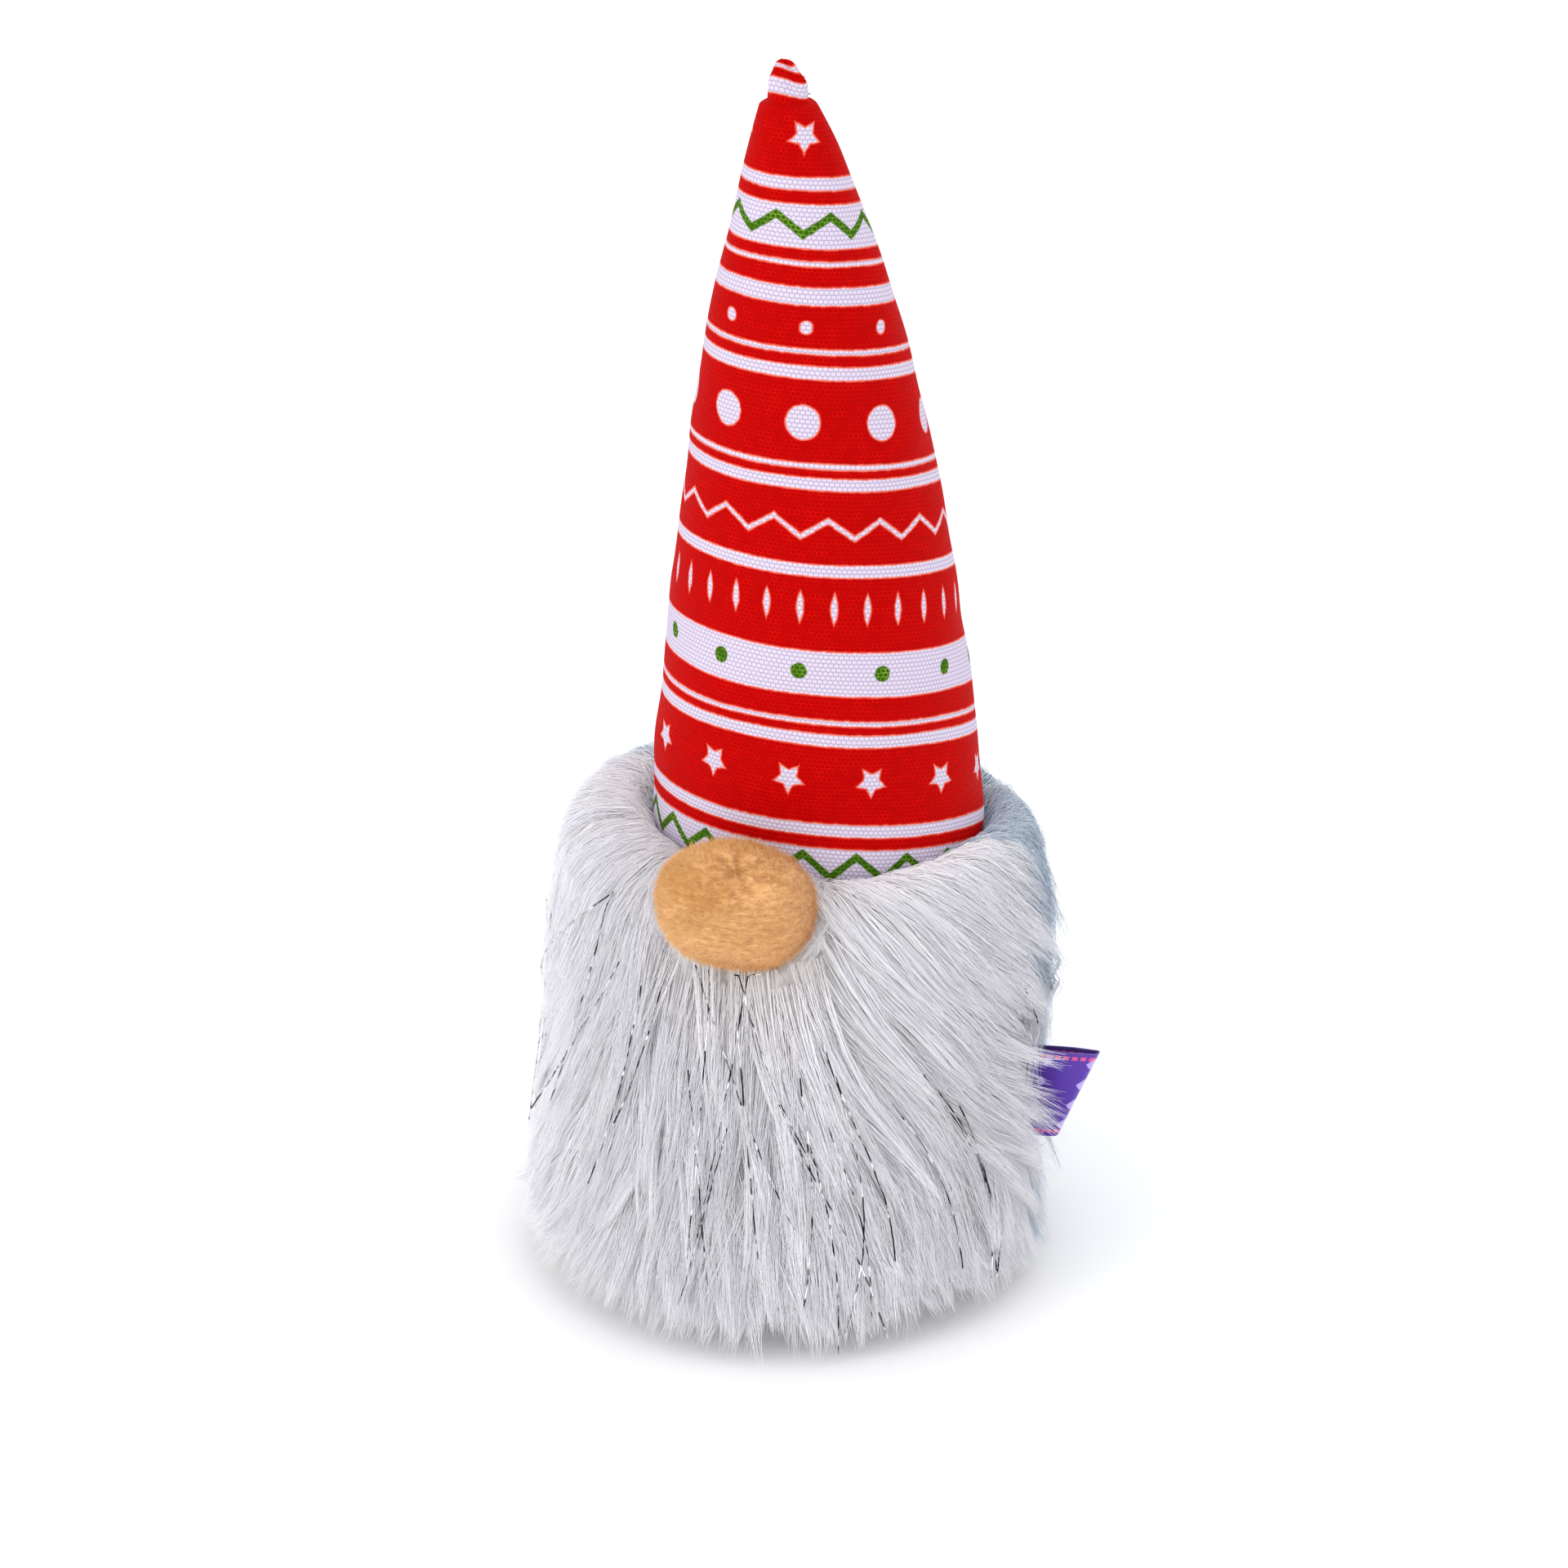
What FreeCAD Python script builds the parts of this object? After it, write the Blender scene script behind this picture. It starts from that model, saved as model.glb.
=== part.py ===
import FreeCAD, Part
import math
import os

# Plush tomte gnome: a stuffed cone hat of printed canvas sewn on a weighted
# sack of long-pile faux fur, with a stuffed ball nose and a woven loop label.
# Millimetres.  +Z is up, the gnome faces -Y, and the origin is the centre of
# the sack's base on the surface it stands on.

# ---- driving dimensions ----------------------------------------------------
HAT_RIM_Z = 107.0          # lower edge of the hat
HAT_TIP_Z = 300.0          # top of the hat
HAT_BELLY_Z = 116.0        # height of the hat's widest ring
HAT_RADIUS = 40.5          # radius of that ring
HAT_RIM_RADIUS = 38.5      # radius of the gathered lower edge
HAT_BULGE = (1.25, 0.62)   # exponents of the stuffed cone's convex outline
HAT_WAIST = (1.35, 267.0, 19.0)    # the upper cone is slimmer: by how much, where, over what height
HAT_TIP_LEAN = 8.5         # how far the tip droops towards -X
HAT_LEAN_POWER = 2.2       # the droop is nearly all in the upper half
CANVAS = 0.85              # cloth thickness
HEM_HEIGHT = 8.0           # turned-in hem of the hat

NOSE_SIZE = (20.0, 14.5, 15.0)   # semi-axes of the ball nose
NOSE_X = 2.0
NOSE_Z = 114.8
NOSE_BACK_Y = -41.8        # back of the nose, where its hinge line is
NOSE_PLUSH = 1.6

SACK_RADIUS = 41.0         # knit backing of the fur, outside
SACK_TOP_Z = 103.5
SACK_SHOULDER = 18.0       # fillet between the sack's side and its top
SACK_FOOT_Z = 0.2
BACKING = 1.0              # thickness of the knit backing
SEAM_Y = 4.0               # the side seams: the front panel wraps a little further

PILE_CENTRE_X = -5.0       # the combed fur lies fuller on the -X side
PILE_FOOT_RADIUS = 65.0
PILE_RADIUS = 63.0
PILE_TOP_Z = 117.0
PILE_SHOULDER = 30.0

BASE_RADIUS = 39.8
BASE_CLOTH = 1.1
CARD_RADIUS = 38.5
CARD = 1.2
CARD_Z = 2.2
POUCH_RADIUS = 37.0
POUCH_Z = (3.6, 35.0)
POUCH_CORNER = 9.0
POUCH_CLOTH = 0.6

LABEL_WIDTH = 23.5         # ribbon width
LABEL_RISE = 6.0           # the ribbon's edges rise outwards by this many degrees
LABEL_SKEW = 28.0          # the loop is sewn askew, so its fold leans in from square
LABEL_ROOT_X = 43.2        # the ribbon's ends are sewn into the side seam here
LABEL_FOLD = (72.0, 62.0)  # x and z of the fold's upper corner
RIBBON = 0.4

LAYER_GAP = 0.15           # between pieces that touch and move together
SEAM_SLIT = 1.2            # between the two pile halves
THREAD = 0.25              # radius of the sewing thread
STITCH_PITCH = 4.6
STITCH = 3.0               # length of one visible stitch

# ---- clearances for the moving pieces --------------------------------------
HAT_POCKET_RADIUS = 43.2
HAT_POCKET_Z = 98.0
NOSE_GROOVE = (21.6, 19.4)         # half-width and half-height of the groove
NOSE_GROOVE_Y = (-80.0, -38.0)
LABEL_SWING = 20.0                 # degrees each way
LABEL_NOTCH_Z = (32.0, 66.0)
LABEL_NOTCH_GAP = 3.2

X_AXIS = FreeCAD.Vector(1, 0, 0)
Y_AXIS = FreeCAD.Vector(0, 1, 0)
Z_AXIS = FreeCAD.Vector(0, 0, 1)


def vec(x, y, z):
    return FreeCAD.Vector(x, y, z)


def export(name, shapes):
    """Write one node: a single solid, or a group of separate ones."""
    solids = [solid for shape in shapes for solid in shape.Solids]
    for solid in solids:
        if not solid.isValid():
            raise ValueError(name + " has a solid that isn't valid")
    shape = solids[0] if len(solids) == 1 else Part.makeCompound(solids)
    shape.exportStep("parts/" + name + ".step")
    box = shape.BoundBox
    print("%-24s %3d solids %9.1f mm3  z %.2f..%.2f" % (name, len(solids), shape.Volume, box.ZMin, box.ZMax))


# ---- shapes that several pieces share --------------------------------------
def revolve(wire, centre_x=0.0):
    """Turn a closed outline in the XZ plane about the upright axis at centre_x."""
    solid = Part.Face(wire).revolve(vec(0, 0, 0), Z_AXIS, 360)
    solid.translate(vec(centre_x, 0, 0))
    return solid


def barrel(radius, foot_radius, foot_z, top_z, shoulder):
    """Outline of an upright barrel with a rounded shoulder and a flat top."""
    arc_centre = vec(radius - shoulder, 0, top_z - shoulder)
    half = math.radians(45)
    start = arc_centre + X_AXIS * shoulder
    middle = arc_centre + vec(math.cos(half), 0, math.sin(half)) * shoulder
    end = arc_centre + Z_AXIS * shoulder
    corners = [end, vec(0, 0, top_z), vec(0, 0, foot_z), vec(foot_radius, 0, foot_z), start]
    edges = [Part.Arc(start, middle, end).toShape()]
    edges += [Part.LineSegment(a, b).toShape() for a, b in zip(corners, corners[1:])]
    return Part.Wire(edges)


def sack_solid(offset, foot_z=SACK_FOOT_Z):
    """The sack's outline moved outwards by offset, as a solid from foot_z up."""
    radius = SACK_RADIUS + offset
    return revolve(barrel(radius, radius, foot_z, SACK_TOP_Z + offset, SACK_SHOULDER + offset))


def pouch_solid(inset):
    """The pellet pouch, shrunk by inset on every side."""
    low, high = POUCH_Z
    radius = POUCH_RADIUS - inset
    height = high - low - 2 * inset
    solid = Part.makeCylinder(radius, height, vec(0, 0, low + inset))
    rims = [edge for edge in solid.Edges if abs(edge.Length - 2 * math.pi * radius) < 1e-3]
    return solid.makeFillet(POUCH_CORNER - inset, rims)


def side_block(front, gap):
    """Everything in front of, or behind, the side seams, less half the gap."""
    reach = 100.0
    if front:
        return Part.makeBox(2 * reach, reach + SEAM_Y - gap / 2, 2 * reach, vec(-reach, -reach, -1))
    return Part.makeBox(2 * reach, reach, 2 * reach, vec(-reach, SEAM_Y + gap / 2, -1))


def hat_radius(z):
    """Radius of the stuffed hat: a convex cone that tucks in below its belly."""
    if z < HAT_BELLY_Z:
        tuck = ((HAT_BELLY_Z - z) / (HAT_BELLY_Z - HAT_RIM_Z)) ** 2
        return HAT_RADIUS - (HAT_RADIUS - HAT_RIM_RADIUS) * tuck
    rise = (z - HAT_BELLY_Z) / (HAT_TIP_Z - HAT_BELLY_Z)
    waist = HAT_WAIST[0] * math.exp(-((z - HAT_WAIST[1]) / HAT_WAIST[2]) ** 2)
    fade = min(1.0, (HAT_TIP_Z - z) / 12.0)
    return HAT_RADIUS * (1 - rise ** HAT_BULGE[0]) ** HAT_BULGE[1] - waist * fade


def hat_lean(z):
    """Sideways droop of the hat's axis at a height."""
    rise = max(0.0, (z - HAT_RIM_Z) / (HAT_TIP_Z - HAT_RIM_Z))
    return -HAT_TIP_LEAN * rise ** HAT_LEAN_POWER


def hat_solid(inset, bottom, top):
    """The hat's outline shrunk by inset, between two heights."""
    rings = 16
    # the rings crowd together towards the tip, where the outline turns most
    heights = [top - (top - bottom) * (1 - i / rings) ** 1.6 for i in range(rings + 1)]
    if bottom < HAT_BELLY_Z < top:
        heights = [z for z in heights if abs(z - HAT_BELLY_Z) > 3 or z == bottom] + [HAT_BELLY_Z]
    sections = []
    for z in sorted(heights):
        circle = Part.Circle(vec(hat_lean(z), 0, z), Z_AXIS, hat_radius(z) - inset)
        sections.append(Part.Wire(circle.toShape()))
    return Part.makeLoft(sections, True, False)


def stitch(middle, along, length=STITCH):
    """One straight stitch: a short piece of thread."""
    direction = vec(along.x, along.y, along.z).normalize()
    return Part.makeCylinder(THREAD, length, middle - direction * (length / 2), direction)


def ellipsoid(semi_axes, centre):
    ball = Part.makeSphere(1.0)
    scale = FreeCAD.Matrix()
    scale.scale(*semi_axes)
    solid = ball.transformGeometry(scale)
    solid.translate(centre)
    return solid


# ---- hat -------------------------------------------------------------------
def hat_panel():
    """One sector of canvas rolled into a cone, with its lower edge turned in."""
    top = HAT_TIP_Z - 0.1
    outside = hat_solid(0.0, HAT_RIM_Z, top)
    inside = hat_solid(CANVAS, HAT_RIM_Z, top - 3 * CANVAS)
    hem_top = HAT_RIM_Z + HEM_HEIGHT
    hem = hat_solid(CANVAS - 0.05, HAT_RIM_Z, hem_top).cut(hat_solid(2 * CANVAS, HAT_RIM_Z, hem_top))
    return outside.cut(inside).fuse(hem)


def hat_stuffing():
    """Polyester fibre that fills the hat down to its mouth."""
    fill_bottom = HAT_RIM_Z + 1.0
    inset = CANVAS + LAYER_GAP
    fill = hat_solid(inset, fill_bottom, HAT_TIP_Z - 4 * CANVAS)
    neck_top = HAT_RIM_Z + HEM_HEIGHT + LAYER_GAP
    ring = Part.makeCylinder(HAT_RADIUS + 5, neck_top - HAT_RIM_Z, vec(0, 0, HAT_RIM_Z))
    core = hat_solid(2 * CANVAS + LAYER_GAP, HAT_RIM_Z, neck_top)
    return fill.cut(ring.cut(core))


def hat_back_seam_thread():
    """Ladder stitches that close the cone down its back."""
    stitches = []
    z = HAT_RIM_Z + 6.0
    while z < HAT_TIP_Z - 12.0:
        step = 0.5
        slope = vec(
            hat_lean(z + step) - hat_lean(z - step), hat_radius(z + step) - hat_radius(z - step), 2 * step
        )
        outward = THREAD + LAYER_GAP
        middle = vec(hat_lean(z), hat_radius(z) + outward, z + outward * 0.3)
        stitches.append(stitch(middle, slope))
        z += STITCH_PITCH
    return stitches


def hat_tip_thread():
    """Three short stitches that hold the folded tip closed, at its back."""
    stitches = []
    for z in (290.0, 292.2, 294.4):
        back = vec(hat_lean(z), hat_radius(z) + THREAD + 3 * LAYER_GAP, z)
        stitches.append(stitch(back + X_AXIS * 0.2, X_AXIS, 2.4))
    return stitches


def hat_attach_thread():
    """Slanting stitches under the hat's rim that take it to the sack."""
    count = 36
    stitches = []
    for i in range(count):
        angle = 2 * math.pi * i / count
        radial = vec(math.cos(angle), math.sin(angle), 0)
        tangent = vec(-math.sin(angle), math.cos(angle), 0)
        middle = radial * (HAT_RIM_RADIUS - 0.8) + Z_AXIS * (HAT_RIM_Z - 1.4)
        stitches.append(stitch(middle, tangent + Z_AXIS * 0.55, 2.8))
    return stitches


# ---- nose ------------------------------------------------------------------
def nose_ball(inset):
    centre = vec(NOSE_X, NOSE_BACK_Y - NOSE_SIZE[1], NOSE_Z)
    return ellipsoid([axis - inset for axis in NOSE_SIZE], centre)


def nose_cover():
    """Short-pile plush gathered round the stuffing."""
    return nose_ball(0.0).cut(nose_ball(NOSE_PLUSH))


def nose_stuffing():
    return nose_ball(NOSE_PLUSH + LAYER_GAP)


def nose_gather_thread():
    """Drawstring ring at the back of the nose, where the plush is gathered."""
    radius = 2.4
    ring_y = NOSE_BACK_Y + 0.35
    return Part.makeTorus(radius, THREAD, vec(NOSE_X, ring_y, NOSE_Z), Y_AXIS)


# ---- sack ------------------------------------------------------------------
def backing_half(front):
    """Knit backing of one fur panel: half of the sack's shell."""
    shell = sack_solid(0.0).cut(sack_solid(-BACKING, SACK_FOOT_Z))
    return shell.common(side_block(front, LAYER_GAP))


def nose_groove():
    """Room for the nose to tip up and down: a round-bottomed groove, open above."""
    half_width, half_height = NOSE_GROOVE
    back_y = NOSE_GROOVE_Y[1]
    depth = NOSE_GROOVE_Y[1] - NOSE_GROOVE_Y[0]
    ellipse = Part.Ellipse(vec(NOSE_X, back_y, NOSE_Z), half_width, half_height)
    ellipse.Axis = Y_AXIS
    ellipse.XAxis = X_AXIS
    floor = Part.Face(Part.Wire(ellipse.toShape())).extrude(vec(0, -depth, 0))
    opening = Part.makeBox(2 * half_width, depth, 30, vec(NOSE_X - half_width, back_y - depth, NOSE_Z))
    return floor.fuse(opening)


def label_notch():
    """Room for the label to swing forwards and backwards about its seam."""
    low, high = LABEL_NOTCH_Z
    near_x = SACK_RADIUS + LAYER_GAP
    far_x = LABEL_FOLD[0] + 4
    spread = LABEL_NOTCH_GAP + (far_x - LABEL_ROOT_X) * math.tan(math.radians(LABEL_SWING))
    corners = [
        vec(near_x, SEAM_Y - LABEL_NOTCH_GAP, low),
        vec(far_x, SEAM_Y - spread, low),
        vec(far_x, SEAM_Y + spread, low),
        vec(near_x, SEAM_Y + LABEL_NOTCH_GAP, low),
    ]
    outline = Part.makePolygon(corners + corners[:1])
    return Part.Face(outline).extrude(Z_AXIS * (high - low))


def pile_half(front):
    """The combed fur of one panel, as a solid with the fur's outer shape."""
    outline = barrel(PILE_RADIUS, PILE_FOOT_RADIUS, 0.0, PILE_TOP_Z, PILE_SHOULDER)
    pile = revolve(outline, PILE_CENTRE_X)
    pile = pile.cut(sack_solid(LAYER_GAP, -1.0))
    pocket_height = PILE_TOP_Z - HAT_POCKET_Z + 5
    pile = pile.cut(Part.makeCylinder(HAT_POCKET_RADIUS, pocket_height, vec(0, 0, HAT_POCKET_Z)))
    pile = pile.cut(label_notch())
    if front:
        pile = pile.cut(nose_groove())
    return pile.common(side_block(front, SEAM_SLIT))


def side_seam_thread(side):
    """Stitches down one side seam; side is +1 for +X and -1 for -X."""
    reach = math.sqrt(SACK_RADIUS ** 2 - SEAM_Y ** 2)
    x = side * (reach + LAYER_GAP + THREAD + 0.1)
    stitches = []
    z = 7.0
    while z < SACK_TOP_Z - SACK_SHOULDER:
        stitches.append(stitch(vec(x, SEAM_Y, z), Z_AXIS))
        z += STITCH_PITCH
    return stitches


def tinsel_strands():
    """Flat metallised strands knitted in with the pile, lying over it."""
    offset = 0.3
    film = 0.12
    width = 0.5
    turn = 137.5
    strands = []
    for i in range(44):
        angle = (i * turn) % 360
        from_label = min(angle, 360 - angle)
        from_nose = abs(angle - 270)
        if from_label < 22:
            continue
        top_angle = 5 if from_nose < 26 else 30 + 17 * ((i * 7) % 3)
        strands.append(tinsel_strand(angle, top_angle, 4.0 + 5 * (i % 4), offset, film, width))
    return strands


def tinsel_strand(angle, top_angle, low_z, offset, film, width):
    """One strand: down the pile's shoulder and side in an upright plane."""
    arc_z = PILE_TOP_Z - PILE_SHOULDER
    lean = (PILE_FOOT_RADIUS - PILE_RADIUS) / arc_z
    edges = []
    ends = []
    for radius in (PILE_SHOULDER + offset, PILE_SHOULDER + offset + film):
        centre = vec(PILE_RADIUS - PILE_SHOULDER, 0, arc_z)
        points = []
        for share in (0.0, 0.5, 1.0):
            bend = math.radians(top_angle * share)
            points.append(centre + vec(math.cos(bend), 0, math.sin(bend)) * radius)
        foot = vec(points[0].x + (arc_z - low_z) * lean, 0, low_z)
        edges.append(Part.LineSegment(foot, points[0]).toShape())
        edges.append(Part.Arc(*points).toShape())
        ends.append((foot, points[2]))
    for near, far in zip(*ends):
        edges.append(Part.LineSegment(near, far).toShape())
    outline = Part.Wire(Part.__sortEdges__(edges))
    strand = Part.Face(outline).extrude(vec(0, width, 0))
    strand.translate(vec(0, -width / 2, 0))
    strand.rotate(vec(0, 0, 0), Z_AXIS, angle)
    strand.translate(vec(PILE_CENTRE_X, 0, 0))
    return strand


def body_stuffing():
    """Polyester fibre round and above the pellet pouch."""
    fill = sack_solid(-BACKING - LAYER_GAP, CARD_Z + CARD + LAYER_GAP)
    return fill.cut(pouch_solid(-LAYER_GAP))


def pellet_pouch():
    return pouch_solid(0.0).cut(pouch_solid(POUCH_CLOTH))


def weight_pellets():
    """The bed of plastic pellets, as one solid."""
    return pouch_solid(POUCH_CLOTH + LAYER_GAP)


# ---- base ------------------------------------------------------------------
def base_panel():
    return Part.makeCylinder(BASE_RADIUS, BASE_CLOTH)


def base_card():
    return Part.makeCylinder(CARD_RADIUS, CARD, vec(0, 0, CARD_Z))


def base_seam_thread():
    """Stitches in the corner between the sack's foot and the base cloth."""
    radius = BASE_RADIUS - 0.6
    z = BASE_CLOTH + LAYER_GAP + THREAD + 0.1
    count = int(2 * math.pi * radius / STITCH_PITCH)
    stitches = []
    for i in range(count):
        angle = 2 * math.pi * i / count
        tangent = vec(-math.sin(angle), math.cos(angle), 0)
        stitches.append(stitch(vec(math.cos(angle) * radius, math.sin(angle) * radius, z), tangent))
    return stitches


# ---- label -----------------------------------------------------------------
def loop_outline(shrink, length, belly):
    """Outline of the folded ribbon seen from above: round fold, slim belly."""
    half = [
        vec(-shrink, 0, 0),
        vec(-1.3, belly * 0.55 - shrink, 0),
        vec(-length * 0.3, belly - shrink, 0),
        vec(-length * 0.75, belly * 0.62 - shrink, 0),
        vec(-length, belly * 0.45 - shrink * 0.9, 0),
    ]
    mirrored = [vec(p.x, -p.y, 0) for p in reversed(half[1:])]
    curve = Part.BSplineCurve()
    curve.interpolate(mirrored + half)
    start = mirrored[0]
    end = half[-1]
    return Part.Wire([curve.toShape(), Part.LineSegment(end, start).toShape()])


def label_ribbon():
    """A woven ribbon folded into a loop, sewn a little askew into the side seam."""
    belly = 2.0
    downwards = vec(-LABEL_WIDTH * math.tan(math.radians(LABEL_SKEW)), 0, -LABEL_WIDTH)
    outer = Part.Face(loop_outline(0.0, 44.0, belly)).extrude(downwards)
    inner = Part.Face(loop_outline(RIBBON, 26.0, belly)).extrude(downwards)
    loop = outer.cut(inner)
    loop.rotate(vec(0, 0, 0), Y_AXIS, -LABEL_RISE)
    loop.translate(vec(LABEL_FOLD[0], SEAM_Y, LABEL_FOLD[1]))
    beyond_seam = Part.makeBox(60, 40, 120, vec(LABEL_ROOT_X, SEAM_Y - 20, 0))
    return loop.common(beyond_seam)


def label_stitches():
    """Stitches that hold the ribbon's ends in the side seam."""
    x = LABEL_ROOT_X - THREAD - 0.4
    return [stitch(vec(x, SEAM_Y, 38.0 + STITCH_PITCH * i), Z_AXIS) for i in range(5)]


os.makedirs("parts", exist_ok=True)
export("hat_panel", [hat_panel()])
export("hat_stuffing", [hat_stuffing()])
export("hat_back_seam_thread", hat_back_seam_thread())
export("hat_tip_thread", hat_tip_thread())
export("hat_attach_thread", hat_attach_thread())
export("nose_cover", [nose_cover()])
export("nose_stuffing", [nose_stuffing()])
export("nose_gather_thread", [nose_gather_thread()])
export("front_fur_backing", [backing_half(True)])
export("front_fur_pile", [pile_half(True)])
export("back_fur_backing", [backing_half(False)])
export("back_fur_pile", [pile_half(False)])
export("tinsel_strands", tinsel_strands())
export("side_seam_thread_left", side_seam_thread(1))
export("side_seam_thread_right", side_seam_thread(-1))
export("body_stuffing", [body_stuffing()])
export("pellet_pouch", [pellet_pouch()])
export("weight_pellets", [weight_pellets()])
export("base_panel", [base_panel()])
export("base_card", [base_card()])
export("base_seam_thread", base_seam_thread())
export("label_ribbon", [label_ribbon()])
export("label_stitches", label_stitches())
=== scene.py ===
"""Looks of a plush tomte gnome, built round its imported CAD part.

Metres throughout, +Z up, the gnome faces -Y.  Sizes of the cloth, fur and print are in millimetres
where a maker would give them so, and MM turns them to metres.
"""

import logging
import math
from collections.abc import Callable
from dataclasses import dataclass
from enum import Enum
from functools import partial

import bpy
import numpy as np
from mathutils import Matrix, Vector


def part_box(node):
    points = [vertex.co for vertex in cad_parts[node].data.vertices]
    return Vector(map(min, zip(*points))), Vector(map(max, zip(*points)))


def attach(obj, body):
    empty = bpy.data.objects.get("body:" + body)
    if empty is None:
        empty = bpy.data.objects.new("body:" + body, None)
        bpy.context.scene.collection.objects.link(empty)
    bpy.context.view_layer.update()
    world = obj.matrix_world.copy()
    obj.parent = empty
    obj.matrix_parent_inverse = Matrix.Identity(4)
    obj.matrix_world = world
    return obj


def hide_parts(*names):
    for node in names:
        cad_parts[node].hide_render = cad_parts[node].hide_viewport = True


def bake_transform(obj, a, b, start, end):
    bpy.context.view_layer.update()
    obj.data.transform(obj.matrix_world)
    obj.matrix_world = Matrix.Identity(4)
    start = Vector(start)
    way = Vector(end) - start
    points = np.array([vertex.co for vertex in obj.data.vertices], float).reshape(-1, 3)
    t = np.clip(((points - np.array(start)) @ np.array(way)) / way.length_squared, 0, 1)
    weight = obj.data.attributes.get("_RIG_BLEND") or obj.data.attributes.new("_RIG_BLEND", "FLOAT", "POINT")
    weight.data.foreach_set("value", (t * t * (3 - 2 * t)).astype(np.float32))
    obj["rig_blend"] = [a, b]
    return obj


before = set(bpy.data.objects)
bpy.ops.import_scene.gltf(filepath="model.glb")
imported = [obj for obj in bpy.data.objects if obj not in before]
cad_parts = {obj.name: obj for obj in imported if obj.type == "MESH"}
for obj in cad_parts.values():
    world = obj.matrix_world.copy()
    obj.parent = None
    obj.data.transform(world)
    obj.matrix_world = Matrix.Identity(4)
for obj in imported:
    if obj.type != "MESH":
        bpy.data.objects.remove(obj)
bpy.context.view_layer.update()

LOG = logging.getLogger("gnome")
MM = 0.001
MATH = "ShaderNodeMath"
VECTOR_MATH = "ShaderNodeVectorMath"
Adder = Callable[..., bpy.types.Node]     # add_node with its tree already given


# ---- small tools -------------------------------------------------------------------------------
def linear(code: str) -> tuple[float, float, float, float]:
    """Turn an sRGB hex colour into linear values.

    Args:
        code: six hex digits after a hash sign.

    Returns:
        Red, green, blue and an alpha of one.
    """
    parts = [int(code[i:i + 2], 16) / 255 for i in (1, 3, 5)]
    values = [c / 12.92 if c <= 0.04045 else ((c + 0.055) / 1.055) ** 2.4 for c in parts]
    return values[0], values[1], values[2], 1.0


def add_node(tree: bpy.types.NodeTree, kind: str, inputs: dict | None = None,
             **settings: object) -> bpy.types.Node:
    """Add one node with its settings and links.

    Args:
        tree: the node tree that gets the node.
        kind: Blender's name for the node type.
        inputs: socket name or number to a value, a node or a socket to link from.
        settings: properties of the node itself.

    Returns:
        The new node.
    """
    node = tree.nodes.new(kind)
    for name, value in settings.items():
        setattr(node, name, value)
    for key, value in (inputs or {}).items():
        if isinstance(value, bpy.types.Node):
            value = value.outputs[0]
        if isinstance(value, bpy.types.NodeSocket):
            tree.links.new(value, node.inputs[key])
        else:
            node.inputs[key].default_value = value
    return node


def smooth_noise(angle: np.ndarray, height: np.ndarray, waves: int, seed: int) -> np.ndarray:
    """Smooth random waves over a turned surface.

    Args:
        angle: angles about the axis, in radians.
        height: distances along the surface, in millimetres.
        waves: how many waves are summed.
        seed: fixes the result.

    Returns:
        Values of about -1 to 1, of the shape of angle.
    """
    rng = np.random.default_rng(seed)
    total = np.zeros(np.broadcast(angle, height).shape)
    for _ in range(waves):
        turns = rng.integers(0, 6)
        pitch = rng.uniform(18, 60)
        total += np.cos(turns * angle + height * 2 * math.pi / pitch + rng.uniform(0, 2 * math.pi))
    return total / math.sqrt(waves) / 1.4


def mesh_object(name: str, points: np.ndarray, faces: list,
                uv: tuple[str, np.ndarray] | None = None) -> bpy.types.Object:
    """Make a smooth-shaded mesh object at the origin.

    Args:
        name: the object's name.
        points: an array of places, in metres.
        faces: corner numbers of each face.
        uv: name of a UV map and one pair of values for each face corner.

    Returns:
        The linked object.
    """
    mesh = bpy.data.meshes.new(name)
    mesh.from_pydata([tuple(p) for p in np.asarray(points, float)], [], faces)
    if uv is not None:
        layer = mesh.uv_layers.new(name=uv[0])
        layer.data.foreach_set("uv", np.asarray(uv[1], np.float32).ravel())
    mesh.shade_smooth()
    mesh.validate()
    obj = bpy.data.objects.new(name, mesh)
    bpy.context.scene.collection.objects.link(obj)
    return obj


def wall_faces(rows: int, columns: int, closed: bool) -> list:
    """Quads between the rows of a grid; closed joins the last column to the first.

    Args:
        rows: how many rows of points.
        columns: how many points in a row.
        closed: whether the last column joins the first.

    Returns:
        Corner numbers of each face.
    """
    last = columns if closed else columns - 1
    return [
        (row + c, row + (c + 1) % columns, row + columns + (c + 1) % columns, row + columns + c)
        for row in range(0, (rows - 1) * columns, columns) for c in range(last)
    ]


def settle(obj: bpy.types.Object) -> bpy.types.Object:
    """Turn an object's live modifiers into its plain mesh.

    Args:
        obj: a mesh object.

    Returns:
        The same object, with no modifiers.
    """
    bpy.context.view_layer.update()
    evaluated = obj.evaluated_get(bpy.context.evaluated_depsgraph_get())
    mesh = bpy.data.meshes.new_from_object(evaluated)
    obj.modifiers.clear()
    obj.data = mesh
    mesh.name = obj.name
    return obj


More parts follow.
